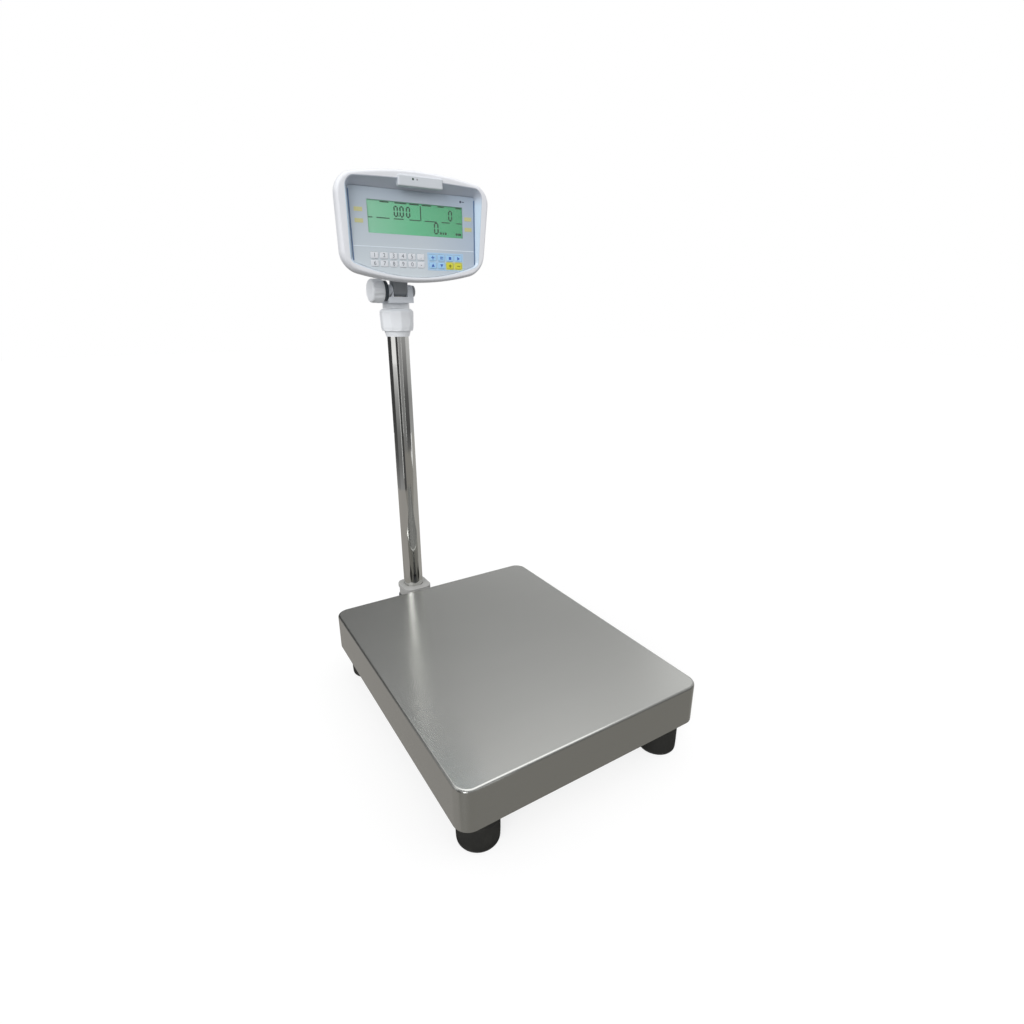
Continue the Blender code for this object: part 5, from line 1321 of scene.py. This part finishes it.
def print_panel():
    """The panel's printing: edge stripes, a dividing line and the plain label patches."""
    front = PANEL_Y - PRINT_LIFT
    height = PANEL_HIGH.z - PANEL_LOW.z
    lean = (PANEL_HALF_TOP - PANEL_HALF_BOTTOM) / height

    def edge(z):
        return PANEL_HALF_BOTTOM + lean * (z - PANEL_LOW.z)

    bottom = PANEL_LOW.z + PANEL_BOTTOM_BULGE + 0.001
    top = PANEL_HIGH.z - PANEL_CORNER
    line_z = PANEL_HIGH.z - 0.0845

    def stripes(shape):
        for side in (-1, 1):
            film(shape, [(side * (edge(z) - STRIPE_INSET - inset), z)
                         for z, inset in ((bottom, 0), (top, 0), (top, STRIPE_WIDTH),
                                          (bottom, STRIPE_WIDTH))], front)

    def divider(shape):
        film(shape, bar(0, line_z, 2 * edge(line_z) - 2 * STRIPE_WIDTH - 0.002, 0.0011), front)

    def labels(shape):
        for x, z in ((-0.0945, 0.785), (-0.0945, 0.769), (0.0965, 0.783), (0.0965, 0.767)):
            film(shape, bar(x, z, 0.0135, 0.0060), front)

    def lamp(shape):
        round_dot = [(WINDOW_HIGH.x - 0.003 + u, PANEL_HIGH.z - 0.009 + v)
                     for u, v in arc(0, 0, 0.0019, 0, 345, 23)]
        film(shape, round_dot, front)
        film(shape, bar(WINDOW_HIGH.x + 0.0018, PANEL_HIGH.z - 0.009, 0.0040, 0.0012), front)

    for name, build, finish in (("edge_stripes", stripes, "stripe_ink"),
                                ("dividing_line", divider, "pale_ink"),
                                ("label_patches", labels, "label_ink"),
                                ("lamp_mark", lamp, "lamp_ink")):
        piece(name, mesh_of(name, build), finish, "indicator")


SEGMENTS = {"0": "abcdef", "1": "bc", "2": "abged", "3": "abgcd", "4": "fgbc", "5": "afgcd",
            "6": "afgedc", "7": "abc", "8": "abcdefg", "9": "abcdfg"}


def digit(shape, sign, x, z, width, height, stroke, y):
    """A seven-segment digit with its lower left corner at x and z."""
    lower = z + height / 2
    gap = stroke * 0.12

    def across(level):
        cut = stroke / 2
        return [(x + gap, level), (x + cut + gap, level + cut), (x + width - cut - gap, level + cut),
                (x + width - gap, level), (x + width - cut - gap, level - cut),
                (x + cut + gap, level - cut)]

    def upright(place, start, end):
        cut = stroke / 2
        return [(place, start + gap), (place + cut, start + cut + gap), (place + cut, end - cut - gap),
                (place, end - gap), (place - cut, end - cut - gap), (place - cut, start + cut + gap)]

    drawn = {"a": across(z + height), "g": across(lower), "d": across(z),
             "f": upright(x, lower, z + height), "b": upright(x + width, lower, z + height),
             "e": upright(x, z, lower), "c": upright(x + width, z, lower)}
    for part in SEGMENTS[sign]:
        film(shape, drawn[part], y)


# Rows of bars on the display: the row's height, its bars' thickness, and each bar's place and
# width. All but the thickness are shares of the window.
DISPLAY_BARS = (
    (0.965, 0.0018, ((0.175, 0.09), (0.34, 0.12), (0.48, 0.10), (0.61, 0.10), (0.765, 0.07),
                     (0.96, 0.06))),
    (0.475, 0.0015, ((0.03, 0.04), (0.155, 0.13), (0.315, 0.10), (0.48, 0.11), (0.65, 0.13),
                     (0.815, 0.09), (0.965, 0.06))),
    (0.12, 0.0034, ((0.757, 0.020), (0.785, 0.016), (0.812, 0.020), (0.935, 0.022),
                    (0.968, 0.034))),
)


def make_display():
    """The window over the display, and what the display shows."""
    size = WINDOW_HIGH - WINDOW_LOW
    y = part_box("display_module")[0].y - 0.00002

    def spot(u, v):
        return (WINDOW_LOW.x + u * size.x, WINDOW_LOW.z + v * size.z)

    def show(shape):
        height = size.z * 0.30
        width = size.x * 0.032
        stroke = 0.0023
        for u, sign in ((0.272, "0"), (0.332, "0"), (0.398, "0"), (0.852, "0")):
            digit(shape, sign, *spot(u, 0.555), width, height, stroke, y)
        digit(shape, "0", *spot(0.690, 0.105), width * 1.15, height * 1.1, stroke, y)
        film(shape, bar(*spot(0.318, 0.565), 0.0016, 0.0016), y)
        film(shape, bar(*spot(0.545, 0.70), 0.0018, size.z * 0.46), y)
        for v, thick, bars in DISPLAY_BARS:
            for u, wide in bars:
                film(shape, bar(*spot(u, v), wide * size.x, thick), y)

    piece("display_figures", mesh_of("figures", show), "segment", "indicator")
    window = mesh_of("window", block(WINDOW_LOW, WINDOW_HIGH, 0.0002, 1))
    piece("window", window, "window", "indicator", ["display_window"])


def legend(sign, x, z, height, y):
    """A small mesh of a printed sign, which stands a film's thickness proud."""
    text = bpy.data.curves.new("legend", "FONT")
    text.body = sign
    text.size = height / 0.70
    text.align_x = "CENTER"
    text.align_y = "CENTER"
    text.extrude = FILM / 2
    guide = bpy.data.objects.new("legend", text)
    bpy.context.scene.collection.objects.link(guide)
    view = bpy.context.evaluated_depsgraph_get()
    mesh = bpy.data.meshes.new_from_object(guide.evaluated_get(view))
    bpy.data.objects.remove(guide, do_unlink=True)
    bpy.data.curves.remove(text)
    stand = Matrix(((1, 0, 0, x), (0, 0, -1, y), (0, 1, 0, z), (0, 0, 0, 1)))
    mesh.transform(stand)
    return mesh


ARROW = [(-0.5, -0.4), (0.5, -0.4), (0.0, 0.5)]
SIGNS = {
    "up": [ARROW],
    "down": [[(u, -v) for u, v in reversed(ARROW)]],
    "right": [[(v, u) for u, v in reversed(ARROW)]],
    "plus": [[(-0.5, -0.12), (0.5, -0.12), (0.5, 0.12), (-0.5, 0.12)],
             [(-0.12, 0.12), (0.12, 0.12), (0.12, 0.5), (-0.12, 0.5)],
             [(-0.12, -0.5), (0.12, -0.5), (0.12, -0.12), (-0.12, -0.12)]],
    "minus": [[(-0.5, -0.12), (0.5, -0.12), (0.5, 0.12), (-0.5, 0.12)]],
    "block": [[(-0.4, -0.4), (0.4, -0.4), (0.4, 0.4), (-0.4, 0.4)]],
    "bars": [[(-0.5, 0.12), (0.5, 0.12), (0.5, 0.36), (-0.5, 0.36)],
             [(-0.5, -0.36), (0.5, -0.36), (0.5, -0.12), (-0.5, -0.12)]],
    "diamond": [[(0, -0.5), (0.5, 0), (0, 0.5), (-0.5, 0)]],
}
NUMBER_SIGNS = ("1", "2", "3", "4", "5", ".", "6", "7", "8", "9", "0", "-")
FUNCTION_SIGNS = ("plus", "bars", "block", "right", "up", "down", "diamond", "minus")


def make_key(node, finish, mark, sign):
    """A domed cap with its sign, which presses in with its key."""
    low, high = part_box(node)
    x = (low.x + high.x) / 2
    z = (low.z + high.z) / 2
    width = high.x - low.x - 2 * KEY_FLANGE_WIDER
    height = high.z - low.z - 2 * KEY_FLANGE_WIDER
    front = low.y

    def ring(inset, y):
        outline = rounded_rectangle(width - 2 * inset, height - 2 * inset, KEY_CORNER - inset / 2, 6)
        return [Vector((x + u, y, z + v)) for u, v in outline]

    rings = [ring(0.0, high.y - 0.010), ring(0.0, PANEL_Y - 0.0001)]
    rings += [ring(0.0007 * (1 - math.cos(a)), PANEL_Y - 0.0001 - 0.0005 * math.sin(a))
              for a in (math.radians(30 * k) for k in range(1, 4))]
    rings += [ring(0.0022, front + 0.00004), ring(0.0034, front)]
    mesh = mesh_of(node, lambda shape: skin(shape, rings))
    if sign in SIGNS:
        size = height * 0.56
        face = front + 0.00002

        def draw(shape):
            for part in SIGNS[sign]:
                film(shape, [(x + u * size, z + v * size) for u, v in part], face)
        extra = mesh_of(node + "_sign", draw)
    else:
        extra = legend(sign, x, z, height * 0.62, front - FILM / 2 + 0.00002)
    joined = bmesh.new()
    joined.from_mesh(mesh)
    first = len(joined.faces)
    joined.from_mesh(extra)
    joined.faces.ensure_lookup_table()
    for face in joined.faces[first:]:
        face.material_index = 1
    joined.to_mesh(mesh)
    joined.free()
    bpy.data.meshes.remove(extra)
    piece(node + "_cap", mesh, [finish, mark], node, [node])


def key_surround(shape, nodes, border, lift):
    """Printed colour round keys that lie in a grid, open where the keys come through."""
    boxes = [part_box(node) for node in nodes]
    columns = sorted({round((low.x + high.x) / 2, 4) for low, high in boxes})
    rows = sorted({round((low.z + high.z) / 2, 4) for low, high in boxes})
    low, high = boxes[0]
    half_x = (high.x - low.x) / 2 - KEY_FLANGE_WIDER + GAP
    half_z = (high.z - low.z) / 2 - KEY_FLANGE_WIDER + GAP
    sides = [x + s * half_x for x in columns for s in (-1, 1)]
    levels = [z + s * half_z for z in rows for s in (-1, 1)]
    sides = [sides[0] - border] + sides + [sides[-1] + border]
    levels = [levels[0] - border] + levels + [levels[-1] + border]
    front = PANEL_Y - PRINT_LIFT - lift
    for start, end in zip(levels[::2], levels[1::2]):
        film(shape, bar((sides[0] + sides[-1]) / 2, (start + end) / 2, sides[-1] - sides[0],
                        end - start), front)
    for z in rows:
        for start, end in zip(sides[::2], sides[1::2]):
            film(shape, bar((start + end) / 2, z, end - start, 2 * half_z), front)


def make_keys():
    functions = [f"function_key_{k}" for k in range(1, len(FUNCTION_SIGNS) + 1)]
    for name, nodes, finish, border, lift in (
            ("blue_surround", functions, "blue_block", KEY_BORDER, 0.0),
            ("yellow_surround", functions[-2:], "yellow_block", KEY_BORDER * 0.4, FILM)):
        surround = mesh_of(name, lambda shape: key_surround(shape, nodes, border, lift))
        piece(name, surround, finish, "indicator")
    for k, sign in enumerate(NUMBER_SIGNS, 1):
        make_key(f"number_key_{k}", "white_key", "grey_ink", sign)
    for k, sign in enumerate(FUNCTION_SIGNS, 1):
        yellow = k > 6
        make_key(f"function_key_{k}", "yellow_key" if yellow else "blue_key",
                 "olive_ink" if yellow else "blue_ink", sign)


bpy.context.scene.view_settings.view_transform = "Standard"
make_camera()
make_world()
make_sun("key_light", KEY_LIGHT, 35, -1.35, -1.0, 0.72)
make_sun("fill_light", FILL_LIGHT, 60, 1.2, -0.8, 0.9)
make_floor()
make_cards()
MATERIALS = make_materials()
dress_frame()
make_pan()
make_feet()
make_bracket()
make_socket()
make_tube()
make_collar()
make_yoke()
make_knob()
make_bezel()
make_tab()
make_shell()
make_shell_screws()
make_gland()
print_panel()
make_display()
make_keys()
